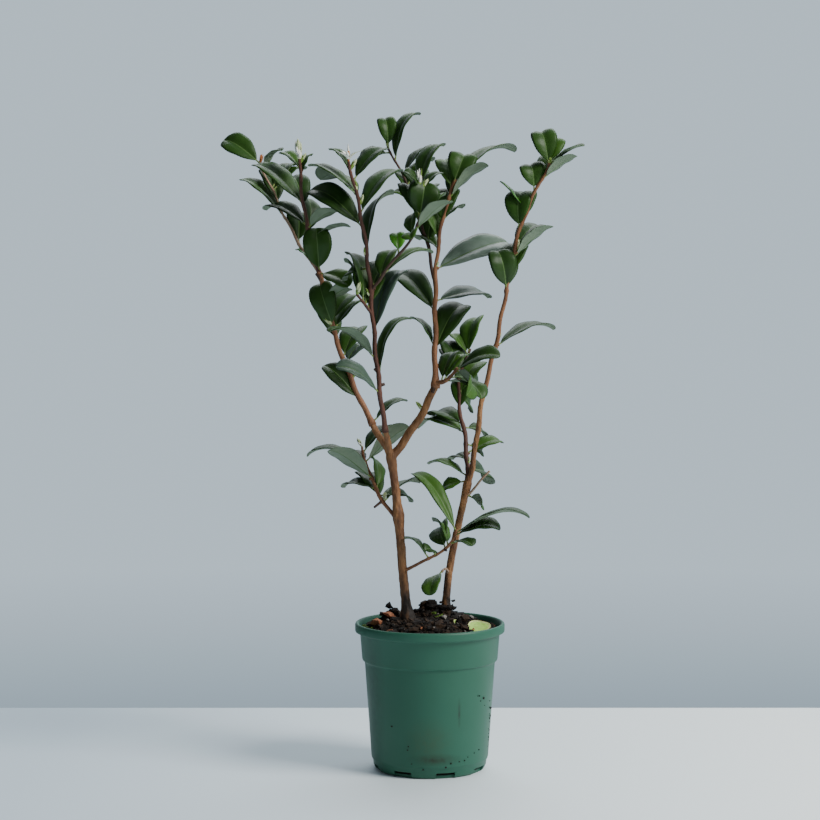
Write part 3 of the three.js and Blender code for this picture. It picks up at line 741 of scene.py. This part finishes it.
bark_stem = bark_material("bark_stem", (0.10, 0.040, 0.015), (0.32, 0.150, 0.058))
darken_foot(bark_stem, (0.018, 0.012, 0.008))
stem_groups = {
    "stem_left_bark": ["stem_left", "bough_left", "bough_middle", "bough_right"],
    "stem_right_bark": ["stem_right", "bough_outer"],
}
BARK_GRAIN = 0.55
FISSURE_DEPTH = 0.3
for piece_name, names in stem_groups.items():
    wood = Joined()
    for name in names:
        sink, flare = (3, 0) if "stem" in name else (2, 0.25)
        wood.add(*limb_tube(name, sides=28, step=1.5, rough=0.2, sink=sink, flare=flare))
    stem = wood.piece(piece_name, [])
    clean_outside(stem)
    apply_modifier(stem, "REMESH", mode="VOXEL", voxel_size=BARK_GRAIN * MM)
    apply_modifier(stem, "SMOOTH", factor=0.5, iterations=2)
    places, normals = np.empty((2, len(stem.data.vertices), 3))
    stem.data.vertices.foreach_get("co", places.ravel())
    stem.data.vertices.foreach_get("normal", normals.ravel())
    fissures = np.array([
        noise.noise((x * 0.9, y * 0.9, z * 0.16)) + 0.5 * noise.noise((x * 1.6, y * 1.6, z))
        for x, y, z in places / MM
    ])
    places += normals * fissures[:, None] * FISSURE_DEPTH * MM
    stem.data.vertices.foreach_set("co", places.ravel())
    stem.data.materials.clear()
    stem.data.materials.append(bark_stem)
    stem.data.shade_smooth()
    dress(stem, "bark", *names)


# Leaves
# Camellia leaves are thick, glossy and dark above and dull and pale below, with a sunk midrib, a finely
# toothed edge and an arched tip. Each row is a share of the shoot, bearing, rise, length and face, and
# then a width and a curl where they are not the usual ones.
PETIOLE = 3.6
LEAF_THICKNESS = 1.0
USUAL_LEAF = (44, 24)
SLIMMING = 0.55
LEAF_FOLD = 14
LEAST_CURL, DROOP, CHANCE_CURL = 65, 5, 10
CURL_GROWTH = 2.5
OUTLINE_PEAK = 0.4206
RIB_STEPS = 10
TAKEN_POINTS = 41
GOLDEN_ANGLE = 137.5
BACK_BEARINGS = (40, 140)
LEAF_ROOM = 2.6
COVER_REACH = 7
COVER_LEAST = 0.9
# A spare leaf's share, rise and length: the least, and how much chance may add
SPARE_SHARE, SPARE_RISE, SPARE_LENGTH = (0.25, 0.7), (40, 30), (34, 12)
leaves = {
    "left_main": [
        (0, 20, 45, 34, 5), (0.15, 175, 50, 42, 50, 0, 50), (0.4, 60, 45, 30, 0),
        (0.64, 220, 65, 42, 130, 25, 100), (0.81, 325, 35, 26, -25, 0, 50), (1, 310, -5, 34, 30),
        (1, 265, 60, 38, 170, 26, 90),
    ],
    "left_far": [
        (0.52, 155, 50, 54, 0, 0, 50), (0.93, 320, 55, 26, 10), (1, 165, 40, 40, 50, 0, 50),
        (0.1, 155, 50, 16, 5),
    ],
    "left_top": [
        (0.29, 0, 30, 34, -10, 0, 50), (0.34, 65, 75, 36, 60), (0.4, 315, 30, 36, 0, 0, 40),
        (0.42, 145, 35, 50, 10), (0.61, 170, 50, 56, 30, 0, 60), (0.84, 35, 80, 20, 0),
        (0.91, 140, 50, 24, 0),
    ],
    "middle_main": [
        (0.14, 225, 40, 46, 50), (0.2, 50, 80, 60, -35), (0.27, 215, 45, 52, 0), (0.37, 30, 80, 64, 15),
        (0.61, 140, -5, 28, 40), (0.66, 85, 65, 68, -60), (0.76, 155, 45, 62, 30, 0, 60),
        (0.81, 45, 55, 60, -5), (0.89, 165, 40, 46, 15, 0, 50), (0.93, 30, 55, 42, 15),
        (0.96, 145, 60, 26, -10), (0.87, 120, 35, 60, -15),
    ],
    "middle_spur": [(0.64, 90, 80, 48, 55), (0.94, 95, 60, 36, -60)],
    "middle_side": [
        (0.12, 65, 60, 34, -5), (0.19, 15, 40, 46, 5), (0.4, 100, 70, 20, 0, 14), (0.57, 95, 55, 30, 50),
        (0.64, 320, 40, 40, 0, 0, 35), (0.74, 115, 60, 42, 10), (0.74, 290, 65, 30, 160, 29, 100),
        (0.98, 55, 75, 46, -20), (0.98, 230, 50, 18, 60), (0.6, 260, 5, 24, -25), (0.95, 30, 55, 24, 0),
    ],
    "right_main": [
        (0.16, 45, 60, 58, 20), (0.18, 140, 60, 32, -15), (0.35, 130, 45, 62, 15, 0, 60),
        (0.4, 30, 15, 56, 25, 0, 55), (0.55, 30, 25, 76, 30, 0, 25), (0.65, 120, 30, 32, 0),
        (0.79, 45, 40, 24, 0), (0.9, 350, 50, 42, -10, 0, 45), (0.97, 0, 70, 32, 90, 26, 115),
        (0.99, 40, 40, 74, -10),
    ],
    "right_top": [
        (0.62, 150, 35, 22, 20), (0.8, 40, 55, 40, -10), (0.9, 50, 80, 52, -25), (0.96, 160, 0, 32, 40),
        (0.99, 250, 85, 30, 150, 17.5, 115),
    ],
    "right_side": [
        (0.21, 55, 65, 32, -5), (0.45, 315, 0, 44, -5), (0.66, 40, 0, 34, 30), (0.95, 320, 30, 42, 45),
        (0.95, 300, -20, 42, -60),
    ],
    "inner_main": [
        (0.02, 165, -10, 22, 45), (0.05, 155, 30, 36, 0), (0.1, 60, -5, 48, 40), (0.17, 120, 10, 22, 15),
        (0.21, 10, 30, 32, 30), (0.28, 35, -15, 20, 60), (0.36, 135, 20, 58, 5), (0.4, 35, -5, 24, 35),
        (0.42, 135, 25, 40, 20), (0.63, 55, -20, 24, 60), (0.83, 50, -20, 38, 60), (0.95, 135, 55, 26, 0),
        (0.96, 80, 70, 40, -30),
    ],
    "outer_main": [
        (0.2, 30, 30, 60, 0), (0.44, 255, 65, 36, 150, 26, 115), (0.58, 345, 45, 40, -15, 0, 35),
        (0.7, 210, 85, 36, 140, 25, 115), (0.78, 160, 52, 32, 0, 13, 20), (0.87, 225, 85, 25, 120, 22, 115),
        (0.93, 345, 40, 32, -20, 0, 35), (0.99, 200, 80, 34, 100, 24, 115), (1, 340, 35, 30, 0, 0, 35),
        (1, 45, 72, 28, 45, 19, 105),
    ],
    "low_left": [
        (0.82, 10, 45, 46, -40, 0, 30), (0.3, 45, 35, 42, -15), (0.39, 40, 5, 36, 20),
        (0.46, 80, 60, 32, 60),
        (0.48, 145, 15, 34, 10), (0.62, 205, 40, 46, -35, 0, 35), (0.8, 120, 35, 24, -15),
        (0.86, 175, 20, 50, 5),
    ],
    "low_cross": [
        (0.45, 145, 50, 26, -15), (0.56, 250, 30, 18, 30), (0.71, 105, 35, 38, 45), (0.81, 315, 15, 22, 5),
        (0.93, 355, 25, 38, 15), (0.97, 345, 30, 66, 5), (0.98, 145, 60, 72, 20, 16, 75),
        (0.76, 105, 50, 30, -45),
    ],
    "low_foot": [(0.96, 240, -20, 28, -15)],
    "cut_twig": [(0.12, 315, -15, 20, -60)],
}
masses = {
    name: dict(shoots=shoots.split(), spare=spare, seed=seed)
    for name, shoots, spare, seed in [
        ("foliage_left", "left_main left_far left_top", 26, 11),
        ("foliage_middle", "middle_main middle_spur middle_side", 60, 23),
        ("foliage_right", "right_main right_top right_side", 32, 37),
        ("foliage_inner", "inner_main", 10, 41),
        ("foliage_outer", "outer_main", 14, 53), ("foliage_low_left", "low_left", 10, 67),
        ("foliage_low_right", "low_cross", 0, 71), ("foliage_foot", "low_foot", 0, 83),
        ("twig_cut", "cut_twig", 0, 97),
    ]
}


def seeded(seed):
    """The solids' own numbers from 0 to 1."""
    state = seed
    while True:
        state = (state * 1664525 + 1013904223) % 4294967296
        yield state / 4294967296


def leaf_frame(bearing, rise, face):
    b, r = math.radians(bearing), math.radians(rise)
    along = np.array([math.cos(r) * math.cos(b), math.cos(r) * math.sin(b), math.sin(r)])
    level = np.array([-math.sin(b), math.cos(b), 0])
    turn = math.radians(-face if math.cos(b) > 0 else face)
    up = np.array(Matrix.Rotation(-turn, 3, Vector(along))) @ np.cross(along, level)
    return along, up, np.cross(up, along)


def turned_down(leaf, share):
    return leaf["curl"] * max(0, share) ** CURL_GROWTH


def rib(leaf, share):
    """The middle line of a blade, which bends down more and more to its tip. Below 0 it is the stalk."""
    along, up, _ = leaf["frame"]
    point = leaf["foot"] + along * leaf["stalk"] * (1 + min(0, share))
    steps = RIB_STEPS if share > 0 else 0
    for step in range(steps):
        angle = turned_down(leaf, (step + 0.5) / steps * share)
        point = point + (along * math.cos(angle) - up * math.sin(angle)) * leaf["length"] * share / steps
    return point


def blade_outline(share):
    """A narrow foot, widest well past the middle, and a blunt end."""
    return max(0, share) ** 0.8 * max(0, 1 - share) ** 0.5 / OUTLINE_PEAK


def half_width(leaf, share):
    return max(LEAF_THICKNESS / 2, leaf["width"] / 2 * blade_outline(share))


def mass_leaves(shoots, spare, seed):
    """The leaves that show, then spare ones on the far side by the golden angle."""
    random = seeded(seed)
    grown = []

    def grow(name, row, is_spare):
        at, bearing, rise, length, face, width, curl = (*row, 0, 0)[:7]
        usual = USUAL_LEAF[1] * (length / USUAL_LEAF[0]) ** SLIMMING
        leaf = dict(name=name, at=at, foot=middle(name, at), length=length, spare=is_spare)
        leaf["frame"] = leaf_frame(bearing, rise, face)
        leaf["stalk"] = PETIOLE + thickness(name, at)
        leaf["width"] = (width or usual) * (0.92 + 0.16 * next(random))
        usual_curl = max(LEAST_CURL, rise + DROOP) + CHANCE_CURL * next(random)
        leaf["curl"] = math.radians(curl or usual_curl)
        grown.append(leaf)

    for name in shoots:
        for row in leaves.get(name, []):
            grow(name, row, False)
    for index in range(spare):
        name = shoots[index % len(shoots)]
        at = SPARE_SHARE[0] + SPARE_SHARE[1] * next(random)
        bearing = BACK_BEARINGS[0] + (index * GOLDEN_ANGLE) % (BACK_BEARINGS[1] - BACK_BEARINGS[0])
        rise = SPARE_RISE[0] + SPARE_RISE[1] * next(random)
        length = SPARE_LENGTH[0] + SPARE_LENGTH[1] * next(random)
        grow(name, (at, bearing, rise, length, 0), True)
    return grown


def leaf_points(leaf):
    side = leaf["frame"][2]
    return np.array([
        rib(leaf, share) + side * x * half_width(leaf, share)
        for share in (0.36, 0.5, 0.65, 0.8, 0.95) for x in (-0.9, -0.45, 0, 0.45, 0.9)
    ])


# A leaf that would touch another mass or limb is skipped. A spare one is skipped as well where it is
# crowded at all, or where nothing in front covers it.
mass_of = {shoot: mass for mass, rule in masses.items() for shoot in rule["shoots"]}
taken_shares = [index / (TAKEN_POINTS - 1) for index in range(TAKEN_POINTS)]
taken = [
    (np.array([middle(name, share) for share in taken_shares]),
     np.array([thickness(name, share) + LEAF_ROOM / 2 for share in taken_shares]),
     mass_of.get(name, name), False)
    for name in limbs
]


def has_room(leaf, mass, points):
    crowded = any(
        (owner != mass or (leaf["spare"] and is_leaf))
        and (np.linalg.norm(points[:, None] - others[None], axis=2) < room[None]).any()
        for others, room, owner, is_leaf in taken
    )
    if crowded or not leaf["spare"]:
        return not crowded
    others = np.concatenate([group[0] for group in taken])
    beside = np.linalg.norm(points[:, None, ::2] - others[None, :, ::2], axis=2) < COVER_REACH
    covered = (beside & (others[None, :, 1] < points[:, None, 1])).any(1)
    return covered.sum() >= COVER_LEAST * len(points)


kept_leaves = {mass: [] for mass in masses}
for spares in (False, True):
    for mass, rule in masses.items():
        for leaf in mass_leaves(**rule):
            points = leaf_points(leaf)
            if leaf["spare"] == spares and has_room(leaf, mass, points):
                taken.append((points, np.full(len(points), LEAF_ROOM), mass, True))
                kept_leaves[mass].append(leaf)


def leaf_material(name, colour, second, roughness):
    return mottled_material(
        name, colour, second, patches=90, grain=900, contrast=1.6, bump=0.05,
        roughness=roughness, specular=0.24,
    )


leaf_materials = [
    leaf_material(*row) for row in [
        ("leaf_deep", (0.011, 0.036, 0.004), (0.018, 0.052, 0.006), 0.45),
        ("leaf_dark", (0.017, 0.054, 0.005), (0.027, 0.076, 0.008), 0.45),
        ("leaf_green", (0.030, 0.086, 0.007), (0.044, 0.112, 0.011), 0.45),
        ("leaf_young", (0.040, 0.180, 0.008), (0.065, 0.240, 0.014), 0.36),
        ("leaf_underside", (0.140, 0.190, 0.120), (0.190, 0.245, 0.165), 0.5),
        ("leaf_rib", (0.060, 0.120, 0.030), (0.085, 0.160, 0.045), 0.45),
        ("leaf_stalk", (0.140, 0.200, 0.045), (0.200, 0.260, 0.070), 0.45),
        # The last two are painted sheen: paler grey-green colours that stand in for light glancing off some
        # leaves.
        ("leaf_painted_sheen", (0.058, 0.098, 0.064), (0.150, 0.200, 0.165), 0.34),
        ("leaf_painted_soft_sheen", (0.040, 0.072, 0.048), (0.062, 0.100, 0.072), 0.4),
    ]
]
DEEP, DARK, GREEN, YOUNG, UNDERSIDE, RIB, STALK, PAINTED_SHEEN, PAINTED_SOFT_SHEEN = range(9)
BLADE_THICKNESS = 0.55
TOOTH_SPACING = 2.6
TOOTH_DEPTH = 0.3
VEIN_PAIRS = 6.5
VEIN_HEIGHT, VEIN_SLANT = 0.16, 0.16
FOLD_STEEP, FOLD_EASE = 2.3, 1.6
EDGE_WAVE = 0.45
RIB_SINK, RIB_DEPTH = 0.22, 0.45
ROUND_SIDES = 8


def add_leaf(pile, leaf, tint, numbers):
    """One fine leaf: its blade in two skins that meet at the toothed edge, and its round stalk."""
    along, up, side = leaf["frame"]
    length, width = leaf["length"], leaf["width"]
    fold = math.sin(math.radians(LEAF_FOLD))
    twist, drift = numbers.uniform(-0.22, 0.22), numbers.uniform(-0.03, 0.03)
    wave = numbers.uniform(0, 6.28)
    body_steps = 2 * max(6, round(length / TOOTH_SPACING))
    stations = [*np.linspace(0, 0.94, body_steps), 0.965, 0.982, 0.993, 0.998, 1]
    columns = np.array([-1, -0.8, -0.52, -0.26, 0, 0, 0.26, 0.52, 0.8, 1])
    upper, lower = [], []
    for step, t in enumerate(stations):
        outline = blade_outline(t)
        tooth = TOOTH_DEPTH * (step % 2) * smooth_step(t, 0.12, 0.3) * (t < 0.95)
        half = max(0.2, width / 2 * outline + tooth)
        ridge = min(0.6, (0.62 - 0.4 * t) / half)
        x = columns.copy()
        x[4], x[5] = -ridge, ridge
        x[3], x[6] = -max(0.26, ridge * 1.25), max(0.26, ridge * 1.25)
        turned = turned_down(leaf, t)
        normal = up * math.cos(turned) + along * math.sin(turned)
        spine = rib(leaf, t) + side * drift * length * t * t
        lean = twist * t
        across = side * math.cos(lean) + normal * math.sin(lean)
        over = normal * math.cos(lean) - side * math.sin(lean)
        away = np.abs(x)
        rise = half * fold * away * (FOLD_STEEP - FOLD_EASE * away)
        veins = np.sin(2 * math.pi * VEIN_PAIRS * (t - VEIN_SLANT * away))
        rise = rise + VEIN_HEIGHT * veins * away * (1 - away) * 3
        rise = rise + EDGE_WAVE * np.sin(5.2 * t * math.pi + wave) * away ** 3 * outline
        rise[4] = rise[5] = rise[4] - RIB_SINK
        body = BLADE_THICKNESS * (1 - away ** 4) * 0.5
        below = body.copy()
        below[4] = below[5] = below[4] + RIB_DEPTH * (1 - 0.7 * t)
        upper.append(spine + np.outer(x * half, across) + np.outer(rise + body, over))
        lower.append(spine + np.outer(x * half, across) + np.outer(rise - below, over))
    count = len(columns)
    ring = [np.concatenate([top, bottom[::-1][1:-1]]) for top, bottom in zip(upper, lower)]
    sides = len(ring[0])
    faces = tube_faces(len(stations), sides)
    column = np.tile(np.arange(sides), len(stations) - 1)
    paint = np.where(column < count - 1, tint, UNDERSIDE)
    paint[column == 4] = RIB
    paint[column == count - 1 + 4] = RIB
    pile.add(np.concatenate(ring), faces, paint)
    stalk = []
    for share, size in ((-1, 0.95), (-0.55, 0.8), (-0.2, 0.72), (0, 0.66), (0.06, 0.4), (0.1, 0.05)):
        centre = rib(leaf, share) - up * (0.15 if share >= 0 else 0)
        stalk.append(ring_round(centre, size, turns(ROUND_SIDES), side, up))
    pile.add(np.concatenate(stalk), tube_faces(len(stalk), ROUND_SIDES), STALK)


# Leaves that stand out in colour, by their shoot and share. The two sheen tints are painted sheen: pale
# grey-green colour for light glancing off those leaves.
leaf_tints = {
    ("left_far", 0.1): YOUNG, ("middle_side", 0.4): YOUNG, ("outer_main", 0.78): YOUNG,
    ("low_foot", 0.96): GREEN, ("low_cross", 0.98): GREEN, ("middle_main", 0.76): DEEP,
    ("middle_side", 0.74): DEEP, ("right_main", 0.16): DEEP, ("right_side", 0.21): DEEP,
    ("right_main", 0.35): DEEP, ("right_main", 0.55): PAINTED_SHEEN, ("right_main", 0.4): PAINTED_SOFT_SHEEN,
    ("middle_main", 0.37): PAINTED_SOFT_SHEEN, ("left_main", 0.4): PAINTED_SOFT_SHEEN, ("middle_main", 0.14): PAINTED_SOFT_SHEEN,
    ("outer_main", 0.99): DARK, ("left_far", 1): DARK, ("left_top", 0.61): DARK,
}
for mass, grown in kept_leaves.items():
    pile = Joined()
    numbers = np.random.default_rng(masses[mass]["seed"])
    for leaf in grown:
        usual_tint = numbers.choice([DEEP, DARK, GREEN], p=[0.35, 0.45, 0.2])
        add_leaf(pile, leaf, leaf_tints.get((leaf["name"], leaf["at"]), usual_tint), numbers)
    blades = pile.piece(mass.replace("foliage", "leaves").replace("twig_cut", "leaves_cut"), leaf_materials)
    dress(blades, "foliage", mass)


# Twigs
# Thin shoots with a swollen ring at each leaf: tan, orange-brown or dark red-brown.
twig_materials = [
    bark_material(*row) for row in [
        ("bark_orange", (0.13, 0.050, 0.021), (0.27, 0.120, 0.054)),
        ("bark_red", (0.048, 0.017, 0.012), (0.115, 0.044, 0.027)),
        ("bark_dark", (0.040, 0.020, 0.014), (0.085, 0.045, 0.030)),
        ("bark_tan", (0.26, 0.16, 0.10), (0.42, 0.28, 0.19)),
    ]
]
ORANGE, RED, BLACKISH, TAN = range(4)
shoot_bark = {
    "left_main": ORANGE, "left_far": TAN, "left_top": RED, "middle_main": RED, "middle_spur": RED,
    "middle_side": BLACKISH, "right_main": ORANGE, "right_top": BLACKISH, "right_side": ORANGE,
    "inner_main": RED, "outer_main": ORANGE, "cut_twig": TAN, "low_left": ORANGE, "low_cross": ORANGE,
    "low_foot": TAN,
}
# Cut stubs, scars and withered bud ends, by share, bearing, rise, length and radius
stubs = {
    "left_main": [(0.96, 200, 50, 6, 2.3, BLACKISH), (0.99, 250, 20, 4, 1.6, ORANGE)],
    "middle_main": [
        (0.17, 0, 15, 4, 1.8, BLACKISH), (0.22, 195, 40, 4, 1.7, BLACKISH), (0.53, 330, 20, 3, 1.5, RED),
    ],
    "low_left": [(0.32, 205, -35, 9, 1.5, BLACKISH), (0.6, 200, 20, 3, 1.3, ORANGE)],
    "right_main": [(0.02, 240, -60, 9, 2.3, BLACKISH), (0.56, 340, -10, 2.5, 1.8, ORANGE)],
    "inner_main": [(0.2, 20, 30, 3, 1.4, RED), (0.62, 40, 20, 3, 1.4, BLACKISH)],
    "outer_main": [(0.6, 330, 10, 2.5, 1.6, ORANGE), (0.2, 340, 30, 2.5, 1.5, ORANGE)],
    "low_cross": [(0.7, 300, -20, 2.5, 1.4, BLACKISH)],
}


def stub_tube(shoot, row):
    at, bearing, rise, length, size = row
    along, up, side = leaf_frame(bearing, rise, 0)
    reach = length + thickness(shoot, at) * 0.5
    rings = [
        ring_round(middle(shoot, at) + along * reach * share, size * wide, turns(ROUND_SIDES), side, up)
        for share, wide in ((0, 1.1), (0.4, 0.85), (0.8, 0.75), (0.97, 0.7), (1, 0.45), (0.96, 0.05))
    ]
    return np.concatenate(rings), tube_faces(len(rings), ROUND_SIDES)


for mass, rule in masses.items():
    wood = Joined()
    for shoot in rule["shoots"]:
        nodes = [leaf["at"] for leaf in kept_leaves[mass] if leaf["name"] == shoot]
        sink = 0 if grows_from_side(shoot) else 2
        tube = limb_tube(shoot, sides=14, step=1.8, rough=0.09, nodes=nodes, sink=sink, flare=0.3)
        wood.add(*tube, shoot_bark[shoot])
        for *row, paint in stubs.get(shoot, []):
            wood.add(*stub_tube(shoot, row), paint)
    twigs = wood.piece(mass.replace("foliage", "twigs"), twig_materials)
    dress(twigs, "bark", mass)


# Buds
# Pointed leaf and flower buds in the leaf axils and at the shoot tips, in overlapping cream-green scales.
BUD_FATNESS = 0.22
buds = {
    "left_main": [(0.3, 20, 60, 9), (0.66, 200, 45, 13)],
    "left_far": [(1, 60, 70, 9)],
    "left_top": [(1, 200, 85, 18), (0.97, 10, 60, 10)],
    "middle_main": [
        (0.5, 200, 60, 9), (0.64, 190, 80, 11), (0.84, 20, 70, 10), (0.89, 190, 75, 13), (0.97, 20, 60, 11),
        (1, 250, 85, 15),
    ],
    "middle_spur": [(1, 300, 60, 12)],
    "middle_side": [(1, 280, 85, 15), (0.97, 20, 55, 12)],
    "right_main": [(0.55, 350, 70, 7), (1, 160, 70, 14)],
    "right_top": [(1, 120, 80, 9)],
    "inner_main": [(0.12, 20, 80, 8)],
    "outer_main": [(0.22, 20, 70, 9), (0.6, 20, 70, 12), (1, 90, 80, 9)],
    "low_left": [(0.3, 60, 70, 9), (1, 200, 60, 9)],
}
bud_materials = [
    leaf_material(*row) for row in [
        ("bud_cream", (0.44, 0.52, 0.24), (0.62, 0.68, 0.42), 0.4),
        ("bud_green", (0.13, 0.22, 0.035), (0.22, 0.33, 0.07), 0.4),
        ("bud_white", (0.74, 0.76, 0.66), (0.88, 0.88, 0.82), 0.5),
        ("bud_rust", (0.30, 0.085, 0.022), (0.44, 0.15, 0.045), 0.5),
    ]
]
CREAM, OLIVE, WHITE, RUST = range(4)
bud_tints = {
    ("left_top", 1): (CREAM, WHITE), ("middle_main", 1): (RUST, WHITE), ("middle_side", 1): (OLIVE, WHITE),
    ("right_main", 1): (CREAM, WHITE), ("low_left", 1): (CREAM, WHITE), ("left_far", 1): (RUST, RUST),
    ("low_left", 0.3): (CREAM, CREAM), ("left_top", 0.97): (OLIVE, CREAM),
}
open_buds = [("middle_main", 1)]
BUD_SIDES = 12
OPEN_BRACTS, CLOSED_SCALES = 8, 6
SCALE_STEPS = 6
PALE_TIP = 0.62
BUD_RINGS = 13
BRACT_HALF, BRACT_LEAN, SCALE_LEAN = 1.3, (35, 92), (9, -13)


def add_scale(pile, foot, way, out, length, half, angles, tint):
    """A pointed scale or bract. It leans out from the bud by the first angle and ends at the second."""
    across = np.cross(way, out)
    place, ring = foot, []
    for share in np.linspace(0, 1, SCALE_STEPS + 1):
        lean = math.radians(angles[0] + (angles[1] - angles[0]) * share)
        ahead = way * math.cos(lean) + out * math.sin(lean)
        over = out * math.cos(lean) - way * math.sin(lean)
        wide = half * math.sin(math.pi * (0.22 + 0.78 * share)) + 0.04
        for x, lift in ((-1, -0.35 * wide), (0, 0.1), (1, -0.35 * wide), (0, -0.25)):
            ring.append(place + across * x * wide + over * lift)
        place = place + ahead * length / SCALE_STEPS
    pile.add(np.array(ring), tube_faces(SCALE_STEPS + 1, 4), tint)


def bud_radius(fat, share):
    return fat * (share + 0.1) ** 0.5 * (1 - share) ** 0.85 * 1.75


def add_bud(pile, shoot, row, numbers):
    """A pointed bud in close scales, pale at its tip. An open one has bracts that spread like a star."""
    at, bearing, rise, length = row
    body_tint, scale_tint = bud_tints.get((shoot, at), (OLIVE, CREAM))
    along, up, side = leaf_frame(bearing, rise, 0)
    foot = middle(shoot, at) + along * thickness(shoot, at) * 0.5
    is_open = (shoot, at) in open_buds
    fat = 0.75 * BUD_FATNESS * length * (0.6 if is_open else 1)
    shares = np.linspace(0, 1, BUD_RINGS)
    rings = [
        ring_round(foot + along * length * share, size, turns(BUD_SIDES), side, up)
        for share, size in zip(shares, bud_radius(fat, shares) + 0.03)
    ]
    paint = np.repeat(np.where(shares[1:] > PALE_TIP, scale_tint, body_tint), BUD_SIDES)
    pile.add(np.concatenate(rings), tube_faces(len(rings), BUD_SIDES), paint)
    for index in range(OPEN_BRACTS if is_open else CLOSED_SCALES):
        round_it = index * math.radians(GOLDEN_ANGLE) + numbers.uniform(0, 0.4)
        out = side * math.cos(round_it) + up * math.sin(round_it)
        if is_open:
            start = foot + along * length * 0.1 + out * fat * 0.6
            reach, tint = length * numbers.uniform(0.75, 1.05), WHITE if index % 3 else CREAM
            add_scale(pile, start, along, out, reach, BRACT_HALF, BRACT_LEAN, tint)
            continue
        share = 0.06 + 0.075 * index
        start = foot + along * length * share + out * (bud_radius(fat, share) + 0.1)
        tint = (scale_tint, body_tint)[index % 2]
        add_scale(pile, start, along, out, length * 0.55, fat * 0.75, SCALE_LEAN, tint)


for mass, rule in masses.items():
    rows = [(shoot, row) for shoot in rule["shoots"] for row in buds.get(shoot, [])]
    if not rows:
        continue
    pile = Joined()
    numbers = np.random.default_rng(masses[mass]["seed"] + 1)
    for shoot, row in rows:
        add_bud(pile, shoot, row, numbers)
    scales = pile.piece(mass.replace("foliage", "buds"), bud_materials)
    dress(scales, "foliage", mass)

# One bud has broken from the bare wood of the right bough.
pile = Joined()
add_bud(pile, "bough_right", (0.66, 160, 55, 10), np.random.default_rng(3))
dress(pile.piece("bud_bough", bud_materials), "foliage")
